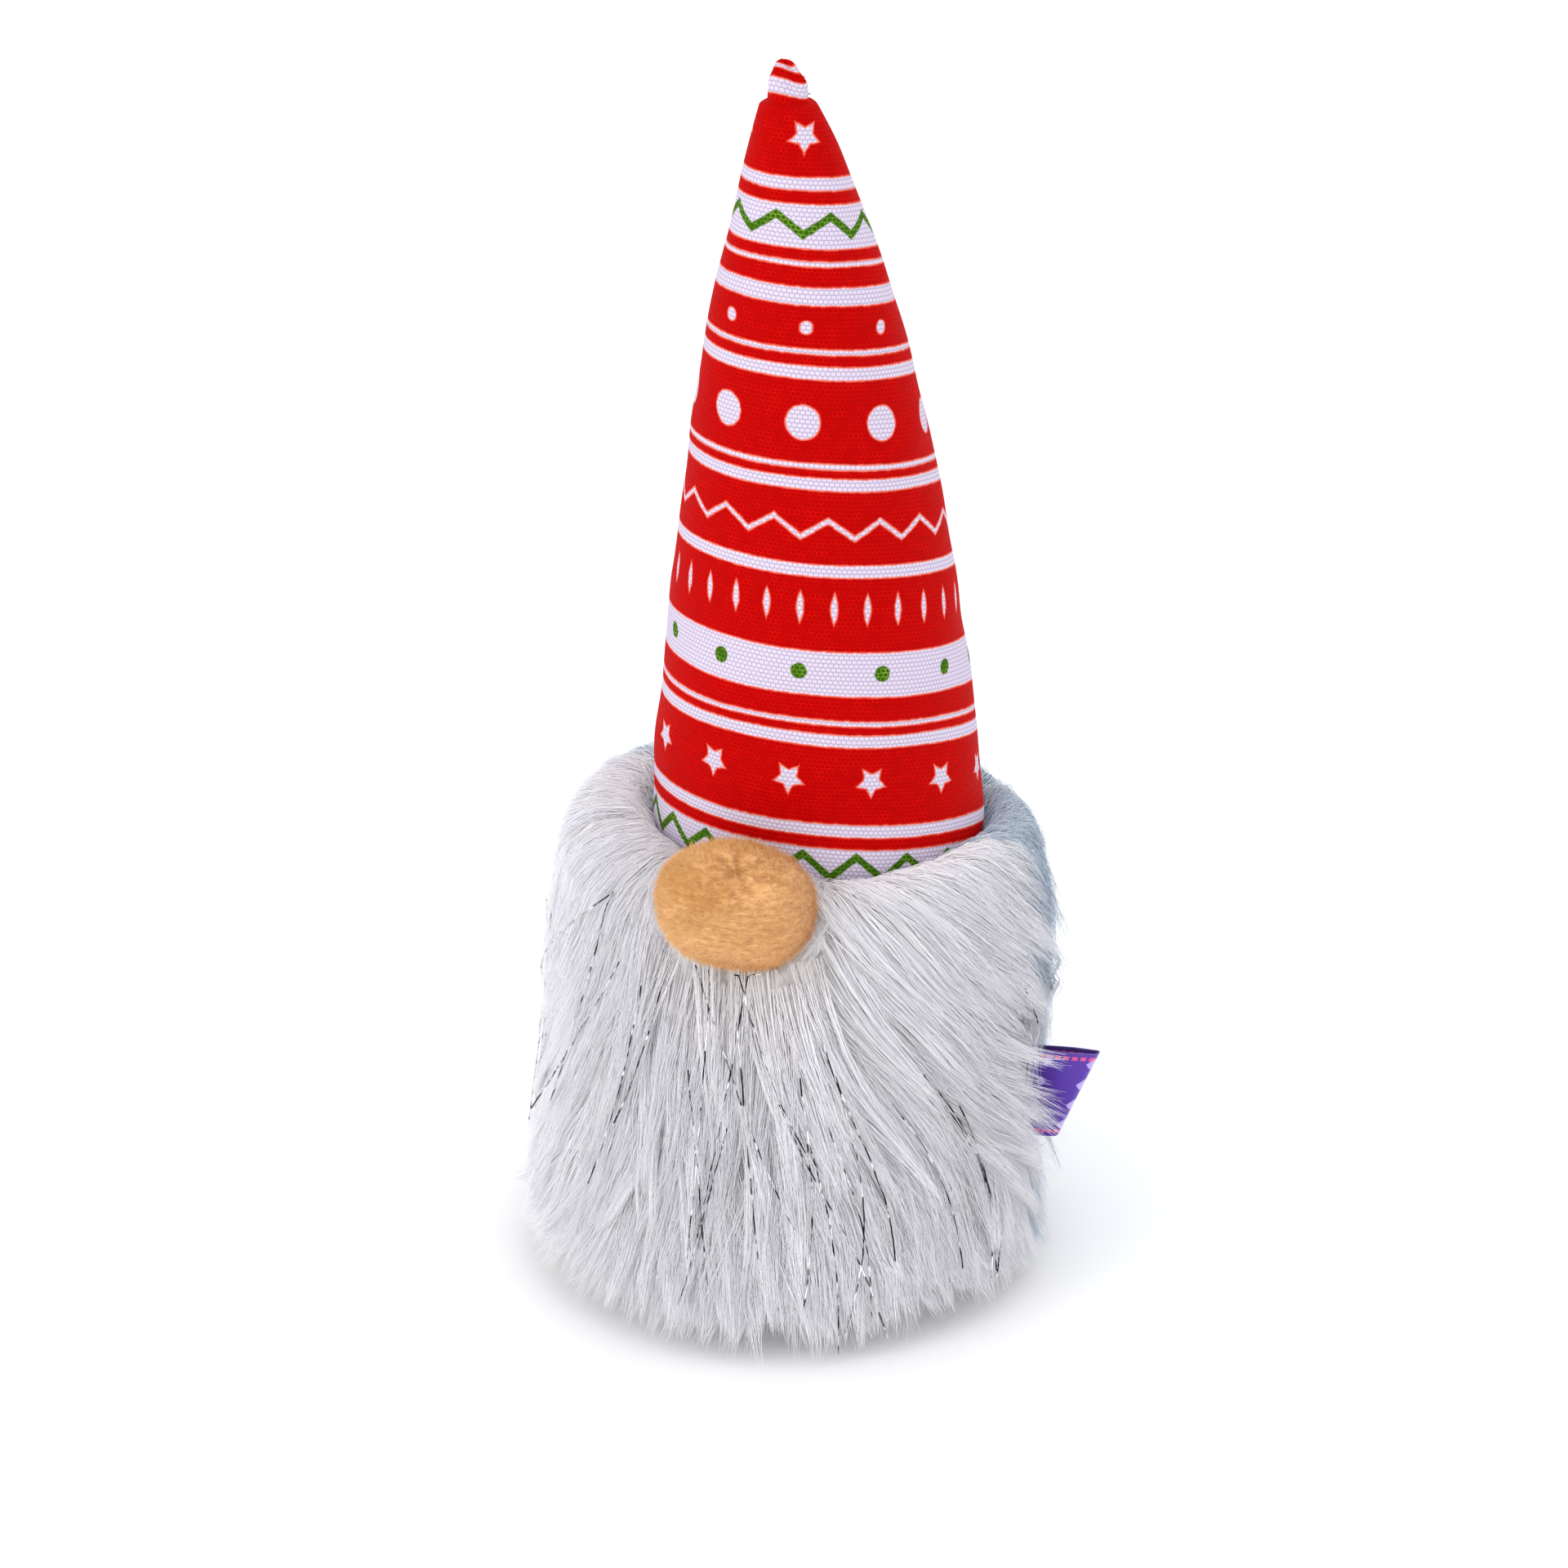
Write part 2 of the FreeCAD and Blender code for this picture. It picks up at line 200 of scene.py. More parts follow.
def inflate(obj: bpy.types.Object, pinned: np.ndarray, pressure: float, cap: float) -> None:
    """Puff a cloth shell up with Blender's cloth solver and keep the result.

    Args:
        obj: the shell, at its sewn size.
        pinned: how firmly each vertex is held, from 0 to 1.
        pressure: the stuffing's push.
        cap: the furthest that a vertex may move, in metres.
    """
    group = obj.vertex_groups.new(name="sewn")
    for index, weight in enumerate(pinned):
        if weight > 0:
            group.add([index], float(weight), "REPLACE")
    cloth = obj.modifiers.new("stuffing", "CLOTH")
    cloth.settings.use_pressure = True
    cloth.settings.uniform_pressure_force = pressure
    cloth.settings.vertex_group_mass = "sewn"
    cloth.settings.mass = 0.2
    cloth.settings.tension_stiffness = 20
    cloth.settings.compression_stiffness = 20
    cloth.settings.bending_stiffness = 0.4
    cloth.settings.effector_weights.gravity = 0
    cloth.collision_settings.use_collision = False
    before = np.zeros(len(obj.data.vertices) * 3, np.float32)
    obj.data.vertices.foreach_get("co", before)
    scene = bpy.context.scene
    for step in range(1, 21):
        scene.frame_set(step)
    evaluated = obj.evaluated_get(bpy.context.evaluated_depsgraph_get())
    after = np.zeros_like(before)
    evaluated.data.vertices.foreach_get("co", after)
    obj.modifiers.remove(cloth)
    obj.vertex_groups.clear()
    scene.frame_set(1)
    moved = (after - before).reshape(-1, 3)
    length = np.linalg.norm(moved, axis=1, keepdims=True)
    moved *= np.minimum(1.0, cap / np.maximum(length, 1e-9))
    obj.data.vertices.foreach_set("co", (before.reshape(-1, 3) + moved).ravel())
    obj.data.update()


def finish_piece(obj: bpy.types.Object, body: str, material: bpy.types.Material,
                 stands_for: tuple = (), bend: tuple = ()) -> None:
    """Give a finished mesh its material, its body and the CAD nodes it stands for.

    Args:
        obj: the piece.
        body: the CAD body that it moves with.
        material: its finish.
        stands_for: names of the CAD nodes that it replaces.
        bend: the body that its far side turns towards, and where that starts and ends; empty for none.
    """
    obj.data.materials.clear()
    obj.data.materials.append(material)
    if bend:
        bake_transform(obj, body, *bend)
    else:
        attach(obj, body)
    if stands_for:
        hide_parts(*stands_for)
    LOG.info("%s: %d faces on %s", obj.name, len(obj.data.polygons), body)


# ---- Geometry Nodes ----------------------------------------------------------------------------
class Tree:
    """A Geometry Nodes tree under construction, with its named inputs."""

    def __init__(self, name: str, inputs: dict[str, str]) -> None:
        """Start a tree.

        Args:
            name: the tree's name.
            inputs: input name to socket type, after the geometry.
        """
        self.tree = bpy.data.node_groups.new(name, "GeometryNodeTree")
        face = self.tree.interface
        face.new_socket("Geometry", in_out="INPUT", socket_type="NodeSocketGeometry")
        for label, kind in inputs.items():
            face.new_socket(label, in_out="INPUT", socket_type=kind)
        face.new_socket("Geometry", in_out="OUTPUT", socket_type="NodeSocketGeometry")
        self.source = self.tree.nodes.new("NodeGroupInput")

    def add(self, kind: str, inputs: dict | None = None, **settings: object) -> bpy.types.Node:
        """Add one node to the tree."""
        return add_node(self.tree, kind, inputs, **settings)

    def value(self, label: str) -> bpy.types.NodeSocket:
        """The socket of one named input."""
        return self.source.outputs[label]

    def close(self, geometry: bpy.types.Node) -> bpy.types.NodeTree:
        """End the tree in real geometry with its material.

        Args:
            geometry: the node whose result is shown.

        Returns:
            The finished tree.
        """
        real = self.add("GeometryNodeRealizeInstances", {0: geometry})
        dressed = self.add("GeometryNodeSetMaterial", {"Geometry": real, "Material": self.value("Material")})
        self.add("NodeGroupOutput", {0: dressed})
        return self.tree


def grow(name: str, guides: bpy.types.Object, tree: bpy.types.NodeTree,
         values: dict[str, object]) -> bpy.types.Object:
    """Run a tree over a guide object and keep its result as a plain mesh.

    Args:
        name: the new piece's name.
        guides: the mesh that the tree starts from; it is removed.
        tree: the Geometry Nodes tree.
        values: input name to value.

    Returns:
        The piece, with only a UV map left among its attributes.
    """
    modifier = guides.modifiers.new("grow", "NODES")
    modifier.node_group = tree
    for item in tree.interface.items_tree:
        if item.in_out == "INPUT" and item.name in values:
            modifier[item.identifier] = values[item.name]
    bpy.context.view_layer.update()
    evaluated = guides.evaluated_get(bpy.context.evaluated_depsgraph_get())
    mesh = bpy.data.meshes.new_from_object(evaluated)
    mesh.name = name
    bpy.data.objects.remove(guides)
    helpers = ("hair", "across", "out", "spread", "trim")
    for label in [a.name for a in mesh.attributes if a.name in helpers]:
        mesh.attributes.remove(mesh.attributes[label])
    piece = bpy.data.objects.new(name, mesh)
    bpy.context.scene.collection.objects.link(piece)
    return piece


def store(tree: Tree, geometry: object, name: str, value: object, kind: str, domain: str) -> bpy.types.Node:
    """Keep a value on the geometry under a name, for nodes further on.

    Args:
        tree: the tree.
        geometry: the node or socket that gives the geometry.
        name: the attribute's name.
        value: what it holds.
        kind: Blender's name for the data type.
        domain: Blender's name for what carries it.

    Returns:
        The storing node.
    """
    return tree.add(
        "GeometryNodeStoreNamedAttribute", {"Geometry": geometry, "Name": name, "Value": value},
        data_type=kind, domain=domain,
    )


def fur_tree() -> bpy.types.NodeTree:
    """Tree that turns each combed guide into a lock of fine tapered hairs.

    Returns:
        The tree: guides in, three-sided hairs out, each on its own column of the OFBake map.
    """
    t = Tree("fur_locks", {
        "Hairs per lock": "NodeSocketInt", "Lock width": "NodeSocketFloat", "Gather": "NodeSocketFloat",
        "Stray": "NodeSocketFloat", "Hair radius": "NodeSocketFloat", "Shortest": "NodeSocketFloat",
        "Shade columns": "NodeSocketInt", "Seed": "NodeSocketInt", "Material": "NodeSocketMaterial",
    })
    curves = t.add("GeometryNodeMeshToCurve", {"Mesh": t.value("Geometry")})
    hairs = t.add(
        "GeometryNodeDuplicateElements", {"Geometry": curves, "Amount": t.value("Hairs per lock")},
        domain="SPLINE",
    )
    spread = t.add(
        "FunctionNodeRandomValue", {0: (-1, -1, 0), 1: (1, 1, 1), "Seed": t.value("Seed")},
        data_type="FLOAT_VECTOR",
    )
    hairs = store(t, hairs, "spread", spread.outputs["Value"], "FLOAT_VECTOR", "CURVE")
    seed_two = t.add(MATH, {0: t.value("Seed"), 1: 17.0}, operation="ADD")
    trim = t.add(
        "FunctionNodeRandomValue", {2: t.value("Shortest"), 3: 1.0, "Seed": seed_two}, data_type="FLOAT",
    )
    hairs = store(t, hairs, "trim", trim.outputs[1], "FLOAT", "CURVE")
    spread = t.add("GeometryNodeInputNamedAttribute", {"Name": "spread"}, data_type="FLOAT_VECTOR")
    out = t.add("GeometryNodeInputNamedAttribute", {"Name": "out"}, data_type="FLOAT_VECTOR")
    trim = t.add("GeometryNodeInputNamedAttribute", {"Name": "trim"}, data_type="FLOAT")
    along = t.add("GeometryNodeSplineParameter")
    tangent = t.add("GeometryNodeInputTangent")
    side = t.add(VECTOR_MATH, {0: tangent, 1: out.outputs["Attribute"]}, operation="CROSS_PRODUCT")
    side = t.add(VECTOR_MATH, {0: side}, operation="NORMALIZE")
    parts = t.add("ShaderNodeSeparateXYZ", {0: spread.outputs["Attribute"]})
    sideways = t.add(VECTOR_MATH, {0: side, "Scale": parts.outputs[0]}, operation="SCALE")
    lift = t.add(MATH, {0: parts.outputs[1], 1: 0.45}, operation="MULTIPLY")
    outward = t.add(VECTOR_MATH, {0: out.outputs["Attribute"], "Scale": lift}, operation="SCALE")
    offset = t.add(VECTOR_MATH, {0: sideways, 1: outward}, operation="ADD")
    gathered = t.add(MATH, {0: t.value("Gather"), 1: along.outputs["Factor"]}, operation="MULTIPLY")
    width = t.add(MATH, {0: 1.0, 1: gathered}, operation="SUBTRACT")
    width = t.add(MATH, {0: width, 1: t.value("Lock width")}, operation="MULTIPLY")
    offset = t.add(VECTOR_MATH, {0: offset, "Scale": width}, operation="SCALE")
    place = t.add("GeometryNodeInputPosition")
    own = t.add(VECTOR_MATH, {0: spread.outputs["Attribute"], "Scale": 3.0}, operation="SCALE")
    where = t.add(VECTOR_MATH, {0: place, "Scale": 28.0}, operation="SCALE")
    where = t.add(VECTOR_MATH, {0: where, 1: own}, operation="ADD")
    noise = t.add("ShaderNodeTexNoise", {"Vector": where, "Scale": 1.0, "Detail": 1.0})
    wander = t.add(VECTOR_MATH, {0: noise.outputs["Color"], 1: (0.5, 0.5, 0.5)}, operation="SUBTRACT")
    amount = t.add(MATH, {0: along.outputs["Factor"], 1: t.value("Stray")}, operation="MULTIPLY")
    wander = t.add(VECTOR_MATH, {0: wander, "Scale": amount}, operation="SCALE")
    offset = t.add(VECTOR_MATH, {0: offset, 1: wander}, operation="ADD")
    hairs = t.add("GeometryNodeSetPosition", {"Geometry": hairs, "Offset": offset})
    hairs = t.add("GeometryNodeTrimCurve", {"Curve": hairs, "End": trim.outputs["Attribute"]}, mode="FACTOR")
    # no hair goes through the surface that the gnome stands on
    parts = t.add("ShaderNodeSeparateXYZ", {0: t.add("GeometryNodeInputPosition")})
    floor = t.add(MATH, {0: parts.outputs[2], 1: 0.3 * MM}, operation="MAXIMUM")
    above = t.add("ShaderNodeCombineXYZ", {0: parts.outputs[0], 1: parts.outputs[1], 2: floor})
    hairs = t.add("GeometryNodeSetPosition", {"Geometry": hairs, "Position": above})
    factor = t.add("GeometryNodeSplineParameter")
    taper = t.add("ShaderNodeMapRange", {"Value": factor, "From Min": 0.25, "To Min": 1.0, "To Max": 0.22})
    radius = t.add(MATH, {0: taper, 1: t.value("Hair radius")}, operation="MULTIPLY")
    hairs = t.add("GeometryNodeSetCurveRadius", {"Curve": hairs, "Radius": radius})
    # the map: a column for each shade of hair, root at the bottom and tip at the top
    chance = t.add("ShaderNodeSeparateXYZ", {0: spread.outputs["Attribute"]}).outputs[2]
    shade = t.add(MATH, {0: chance, 1: t.value("Shade columns")}, operation="MULTIPLY")
    column = t.add(MATH, {0: shade}, operation="FLOOR")
    key = t.add("ShaderNodeCombineXYZ", {0: column, 1: t.add("GeometryNodeSplineParameter")})
    hairs = store(t, hairs, "hair", key, "FLOAT_VECTOR", "POINT")
    profile = t.add("GeometryNodeCurvePrimitiveCircle", {"Resolution": 3, "Radius": 1.0})
    third = t.add(MATH, {0: t.add("GeometryNodeInputIndex"), 1: 0.5}, operation="MULTIPLY")
    profile = store(t, profile.outputs["Curve"], "across", third, "FLOAT", "POINT")
    mesh = tube(t, hairs, profile)
    key = t.add("GeometryNodeInputNamedAttribute", {"Name": "hair"}, data_type="FLOAT_VECTOR")
    across = t.add("GeometryNodeInputNamedAttribute", {"Name": "across"}, data_type="FLOAT")
    parts = t.add("ShaderNodeSeparateXYZ", {0: key.outputs["Attribute"]})
    inside = t.add(MATH, {0: across.outputs["Attribute"], 1: 0.8, 2: 0.1}, operation="MULTIPLY_ADD")
    u = t.add(MATH, {0: parts.outputs[0], 1: inside}, operation="ADD")
    u = t.add(MATH, {0: u, 1: t.value("Shade columns")}, operation="DIVIDE")
    uv = t.add("ShaderNodeCombineXYZ", {0: u, 1: parts.outputs[1]})
    return t.close(store(t, mesh, "OFBake", uv, "FLOAT2", "CORNER"))


def tube(t: Tree, curves: object, profile: object) -> bpy.types.Node:
    """Sweep a profile along curves, scaled by their radius.

    Args:
        t: the tree.
        curves: the paths.
        profile: the section.

    Returns:
        The node that gives the swept mesh.
    """
    inputs = {"Curve": curves, "Profile Curve": profile, "Fill Caps": True}
    node = t.add("GeometryNodeCurveToMesh", inputs)
    if "Scale" in node.inputs:
        radius = t.add("GeometryNodeInputRadius")
        t.tree.links.new(radius.outputs[0], node.inputs["Scale"])
    return node


def tinsel_tree() -> bpy.types.NodeTree:
    """Tree that turns guides into thin twisted strips of metallised film.

    Returns:
        The tree: guides in, flat twisted strips out.
    """
    t = Tree("tinsel_strips", {
        "Strip width": "NodeSocketFloat", "Film": "NodeSocketFloat", "Twist per metre": "NodeSocketFloat",
        "Kink": "NodeSocketFloat", "Step": "NodeSocketFloat", "Seed": "NodeSocketInt",
        "Material": "NodeSocketMaterial",
    })
    curves = t.add("GeometryNodeMeshToCurve", {"Mesh": t.value("Geometry")})
    curves = t.add("GeometryNodeResampleCurve", {"Curve": curves, "Length": t.value("Step")}, mode="LENGTH")
    start = t.add("FunctionNodeRandomValue", {2: 0.0, 3: 6.283, "Seed": t.value("Seed")}, data_type="FLOAT")
    curves = store(t, curves, "trim", start.outputs[1], "FLOAT", "CURVE")
    along = t.add("GeometryNodeSplineParameter")
    place = t.add("GeometryNodeInputPosition")
    noise = t.add("ShaderNodeTexNoise", {"Vector": place, "Scale": 170.0, "Detail": 0.0})
    wander = t.add(VECTOR_MATH, {0: noise.outputs["Color"], 1: (0.5, 0.5, 0.5)}, operation="SUBTRACT")
    wander = t.add(VECTOR_MATH, {0: wander, "Scale": t.value("Kink")}, operation="SCALE")
    curves = t.add("GeometryNodeSetPosition", {"Geometry": curves, "Offset": wander})
    start = t.add("GeometryNodeInputNamedAttribute", {"Name": "trim"}, data_type="FLOAT")
    bend = t.add(MATH, {0: noise.outputs["Fac"], 1: 9.0}, operation="MULTIPLY")
    turn = t.add(
        MATH, {0: along.outputs["Length"], 1: t.value("Twist per metre"), 2: bend}, operation="MULTIPLY_ADD",
    )
    turn = t.add(MATH, {0: turn, 1: start.outputs["Attribute"]}, operation="ADD")
    curves = t.add("GeometryNodeSetCurveTilt", {"Curve": curves, "Tilt": turn})
    curves = t.add("GeometryNodeSetCurveRadius", {"Curve": curves, "Radius": 1.0})
    strip = t.add(
        "GeometryNodeCurvePrimitiveQuadrilateral",
        {"Width": t.value("Strip width"), "Height": t.value("Film")},
    )
    return t.close(tube(t, curves, strip))


def fuzz_tree() -> bpy.types.NodeTree:
    """Tree that stands short fibres on a plush surface, lying along its knitted rows.

    Returns:
        The tree: a surface in, the fibres out.
    """
    t = Tree("plush_fibres", {
        "Density": "NodeSocketFloat", "Fibre length": "NodeSocketFloat", "Fibre radius": "NodeSocketFloat",
        "Lift": "NodeSocketFloat", "Seed": "NodeSocketInt", "Material": "NodeSocketMaterial",
    })
    points = t.add("GeometryNodeDistributePointsOnFaces", {
        "Mesh": t.value("Geometry"), "Density": t.value("Density"), "Seed": t.value("Seed"),
    })
    normal = points.outputs["Normal"]
    along = t.add(VECTOR_MATH, {0: normal, 1: (0.0, 0.25, 1.0)}, operation="CROSS_PRODUCT")
    lifted = t.add(VECTOR_MATH, {0: normal, "Scale": t.value("Lift")}, operation="SCALE")
    stray = t.add(
        "FunctionNodeRandomValue", {0: (-0.5, -0.5, -0.7), 1: (0.5, 0.5, 0.4), "Seed": t.value("Seed")},
        data_type="FLOAT_VECTOR",
    )
    lying = t.add(VECTOR_MATH, {0: along, 1: lifted}, operation="ADD")
    lying = t.add(VECTOR_MATH, {0: lying, 1: stray.outputs["Value"]}, operation="ADD")
    turn = t.add("FunctionNodeAlignRotationToVector", {"Vector": lying}, axis="Z")
    fibre = t.add("GeometryNodeMeshCone", {
        "Vertices": 3, "Side Segments": 1, "Radius Top": 0.0, "Radius Bottom": t.value("Fibre radius"),
        "Depth": t.value("Fibre length"),
    })
    size = t.add("FunctionNodeRandomValue", {2: 0.6, 3: 1.3, "Seed": t.value("Seed")}, data_type="FLOAT")
    fibres = t.add("GeometryNodeInstanceOnPoints", {
        "Points": points.outputs["Points"], "Instance": fibre.outputs["Mesh"], "Rotation": turn,
        "Scale": size.outputs[1],
    })
    return t.close(fibres)


def stitch_tree() -> bpy.types.NodeTree:
    """Tree that lays thread stitches end to end along a seam.

    Returns:
        The tree: the seam's line in, a row of rounded stitches out.
    """
    t = Tree("seam_stitches", {
        "Pitch": "NodeSocketFloat", "Stitch length": "NodeSocketFloat", "Thread radius": "NodeSocketFloat",
        "Slant": "NodeSocketFloat", "Material": "NodeSocketMaterial",
    })
    line = t.add("GeometryNodeMeshToCurve", {"Mesh": t.value("Geometry")})
    line = t.add("GeometryNodeResampleCurve", {"Curve": line, "Length": t.value("Pitch")}, mode="LENGTH")
    tangent = t.add("GeometryNodeInputTangent")
    slant = t.add("ShaderNodeCombineXYZ", {0: t.value("Slant")})
    lie = t.add(VECTOR_MATH, {0: tangent, 1: slant}, operation="ADD")
    out = t.add("GeometryNodeInputNamedAttribute", {"Name": "out"}, data_type="FLOAT_VECTOR")
    turn = t.add(
        "FunctionNodeAxesToRotation", {"Primary Axis": lie, "Secondary Axis": out},
        primary_axis="X", secondary_axis="Z",
    )
    half = t.add(MATH, {0: t.value("Stitch length"), 1: 0.5}, operation="MULTIPLY")
    back = t.add(MATH, {0: half, 1: -1.0}, operation="MULTIPLY")
    arch = t.add(MATH, {0: t.value("Thread radius"), 1: 1.2}, operation="MULTIPLY")
    path = t.add("GeometryNodeCurvePrimitiveBezierSegment", {
        "Resolution": 6, "Start": t.add("ShaderNodeCombineXYZ", {0: back}),
        "End": t.add("ShaderNodeCombineXYZ", {0: half}),
        "Start Handle": t.add("ShaderNodeCombineXYZ", {0: back, 2: arch}),
        "End Handle": t.add("ShaderNodeCombineXYZ", {0: half, 2: arch}),
    })
    ends = t.add("ShaderNodeMapRange", {
        "Value": t.add("GeometryNodeSplineParameter"), "From Min": 0.78, "To Min": 1.0, "To Max": 0.35,
    })
    path = t.add("GeometryNodeSetCurveRadius", {"Curve": path, "Radius": ends})
    round_thread = t.add(
        "GeometryNodeCurvePrimitiveCircle", {"Resolution": 6, "Radius": t.value("Thread radius")},
    )
    one = tube(t, path, round_thread.outputs["Curve"])
    row = t.add("GeometryNodeInstanceOnPoints", {"Points": line, "Instance": one, "Rotation": turn})
    return t.close(row)


# ---- finishes ----------------------------------------------------------------------------------
def new_material(name: str) -> tuple[bpy.types.Material, Adder]:
    """A material named for what it is made of, and the way to add a node to its empty tree.

    Args:
        name: the real material's name.

    Returns:
        The material, and the adder for its tree.
    """
    material = bpy.data.materials.new(name)
    material.use_nodes = True
    material.node_tree.nodes.clear()
    return material, partial(add_node, material.node_tree)


class Ink(Enum):
    """The print's three inks."""

    RED = "#AE0000"
    WHITE = "#D5CBDC"
    GREEN = "#335E06"


class Motif(Enum):
    """What is printed along the middle of a stripe."""

    STAR = "star"
    DOT = "dot"
    DROP = "drop"
    ZIGZAG = "zigzag"


@dataclass(frozen=True)
class Figures:
    """A row of printed figures, in millimetres on the flat cloth."""

    kind: Motif
    ink: Ink
    at: float           # distance from the cloth's point to the row's middle
    size: float         # height of one figure
    width: float        # width of a drop, or the stroke of a zigzag
    pitch: float
    first: float        # where one figure stands, across the cloth


@dataclass(frozen=True)
class FolkPrint:
    """Printed canvas: a plain weave of coarse yarn with a winter folk print.

    Dye-printed polyester canvas.  The yarns cross in small raised cells, so the red shows bright
    specks where a yarn catches the light and the white shows grey gaps, which are painted shade
    between the yarns, and the ink's edges follow the yarns and bleed a little.
    """

    weave: tuple[float, float] = (1.2, 1.0)     # yarn spacing across and down, mm
    white_stripes: tuple = (
        (2.6, 0.8), (6.1, 3.2), (28.5, 2.6), (34.4, 9.5), (46.9, 0.85), (52.6, 3.75), (66.4, 0.9),
        (70.2, 2.65), (92.1, 0.95), (95.4, 2.5), (115.2, 2.6), (135.4, 10.2), (151.7, 0.9), (155.0, 2.65),
        (176.8, 2.7), (182.8, 40.0),
    )   # start from the cloth's point, and width, mm
    rows: tuple = (
        Figures(Motif.STAR, Ink.WHITE, 19.3, 6.9, 0, 19.6, 6.5),
        Figures(Motif.ZIGZAG, Ink.GREEN, 38.9, 4.2, 1.8, 12.6, 0.8),
        Figures(Motif.DOT, Ink.WHITE, 61.5, 2.7, 0, 19.4, 9.0),
        Figures(Motif.DOT, Ink.WHITE, 82.75, 7.6, 0, 19.4, 9.1),
        Figures(Motif.ZIGZAG, Ink.WHITE, 106.8, 4.1, 0.8, 12.6, 3.0),
        Figures(Motif.DROP, Ink.WHITE, 125.2, 6.4, 1.3, 7.9, 1.9),
        Figures(Motif.DOT, Ink.GREEN, 140.2, 3.8, 0, 19.8, 10.0),
        Figures(Motif.STAR, Ink.WHITE, 166.1, 6.7, 0, 19.6, 8.5),
        Figures(Motif.ZIGZAG, Ink.GREEN, 187.0, 5.2, 1.8, 12.6, -0.5),
    )

    def figure(self, add: Adder, row: Figures, x: bpy.types.NodeSocket,
               y: bpy.types.NodeSocket) -> bpy.types.Node:
        """Distance into one row's figures: positive inside, in millimetres.

        Args:
            add: adds a node to the material's tree.
            row: the figures.
            x: place across the cloth, mm.
            y: distance from the cloth's point, mm.

        Returns:
            The node that gives the distance.
        """
        shifted = add(MATH, {0: x, 1: row.first - row.pitch / 2}, operation="SUBTRACT")
        cell = add(MATH, {0: shifted, 1: row.pitch, 2: 0.0}, operation="WRAP")
        across = add(MATH, {0: cell, 1: row.pitch / 2}, operation="SUBTRACT")
        down = add(MATH, {0: y, 1: row.at}, operation="SUBTRACT")
        if row.kind is Motif.DOT:
            away = add("ShaderNodeCombineXYZ", {0: across, 1: down})
            away = add(VECTOR_MATH, {0: away}, operation="LENGTH")
            return add(MATH, {0: row.size / 2, 1: away.outputs["Value"]}, operation="SUBTRACT")
        if row.kind is Motif.DROP:
            share = add(MATH, {0: down, 1: row.size / 2}, operation="DIVIDE")
            squared = add(MATH, {0: share, 1: share}, operation="MULTIPLY")
            edge = add(MATH, {0: 1.0, 1: squared}, operation="SUBTRACT")
            edge = add(MATH, {0: edge, 1: row.width / 2}, operation="MULTIPLY")
            off = add(MATH, {0: across}, operation="ABSOLUTE")
            return add(MATH, {0: edge, 1: off}, operation="SUBTRACT")
        if row.kind is Motif.ZIGZAG:
            wave = add(MATH, {0: across}, operation="ABSOLUTE")
            rise = row.size / (row.pitch / 2)
            line = add(MATH, {0: wave, 1: rise, 2: -row.size / 2}, operation="MULTIPLY_ADD")
            gap = add(MATH, {0: down, 1: line}, operation="SUBTRACT")
            gap = add(MATH, {0: gap}, operation="ABSOLUTE")
            square = add(MATH, {0: gap, 1: 1 / math.sqrt(1 + rise * rise)}, operation="MULTIPLY")
            return add(MATH, {0: row.width / 2, 1: square}, operation="SUBTRACT")
        return self.star(add, row.size / 2, across, down)

    def star(self, add: Adder, radius: float, across: bpy.types.Node,
             down: bpy.types.Node) -> bpy.types.Node:
        """Distance into a five-pointed star, one point down: fold to half a point, then one straight edge.

        Args:
            add: adds a node to the material's tree.
            radius: from the star's middle to a point, mm.
            across: place across the figure, mm.
            down: place down the figure, mm.

        Returns:
            The node that gives the distance.
        """
        sector = 2 * math.pi / 5
        inner = radius * 0.53
        tip = (radius, 0.0)
        dent = (inner * math.cos(sector / 2), inner * math.sin(sector / 2))
        edge = (dent[0] - tip[0], dent[1] - tip[1])
        length = math.hypot(*edge)
        normal = (-edge[1] / length, edge[0] / length)
        away = add("ShaderNodeCombineXYZ", {0: across, 1: down})
        away = add(VECTOR_MATH, {0: away}, operation="LENGTH")
        angle = add(MATH, {0: across, 1: down}, operation="ARCTAN2")
        folded = add(MATH, {0: angle, 1: sector / 2}, operation="PINGPONG")
        along = add(MATH, {0: folded}, operation="COSINE")
        along = add(MATH, {0: away.outputs["Value"], 1: along}, operation="MULTIPLY")
        aside = add(MATH, {0: folded}, operation="SINE")
        aside = add(MATH, {0: away.outputs["Value"], 1: aside}, operation="MULTIPLY")
        along = add(MATH, {0: along, 1: normal[0], 2: -normal[0] * tip[0]}, operation="MULTIPLY_ADD")
        past = add(MATH, {0: aside, 1: normal[1], 2: along}, operation="MULTIPLY_ADD")
        return add(MATH, {0: past, 1: math.copysign(1.0, -normal[0])}, operation="MULTIPLY")

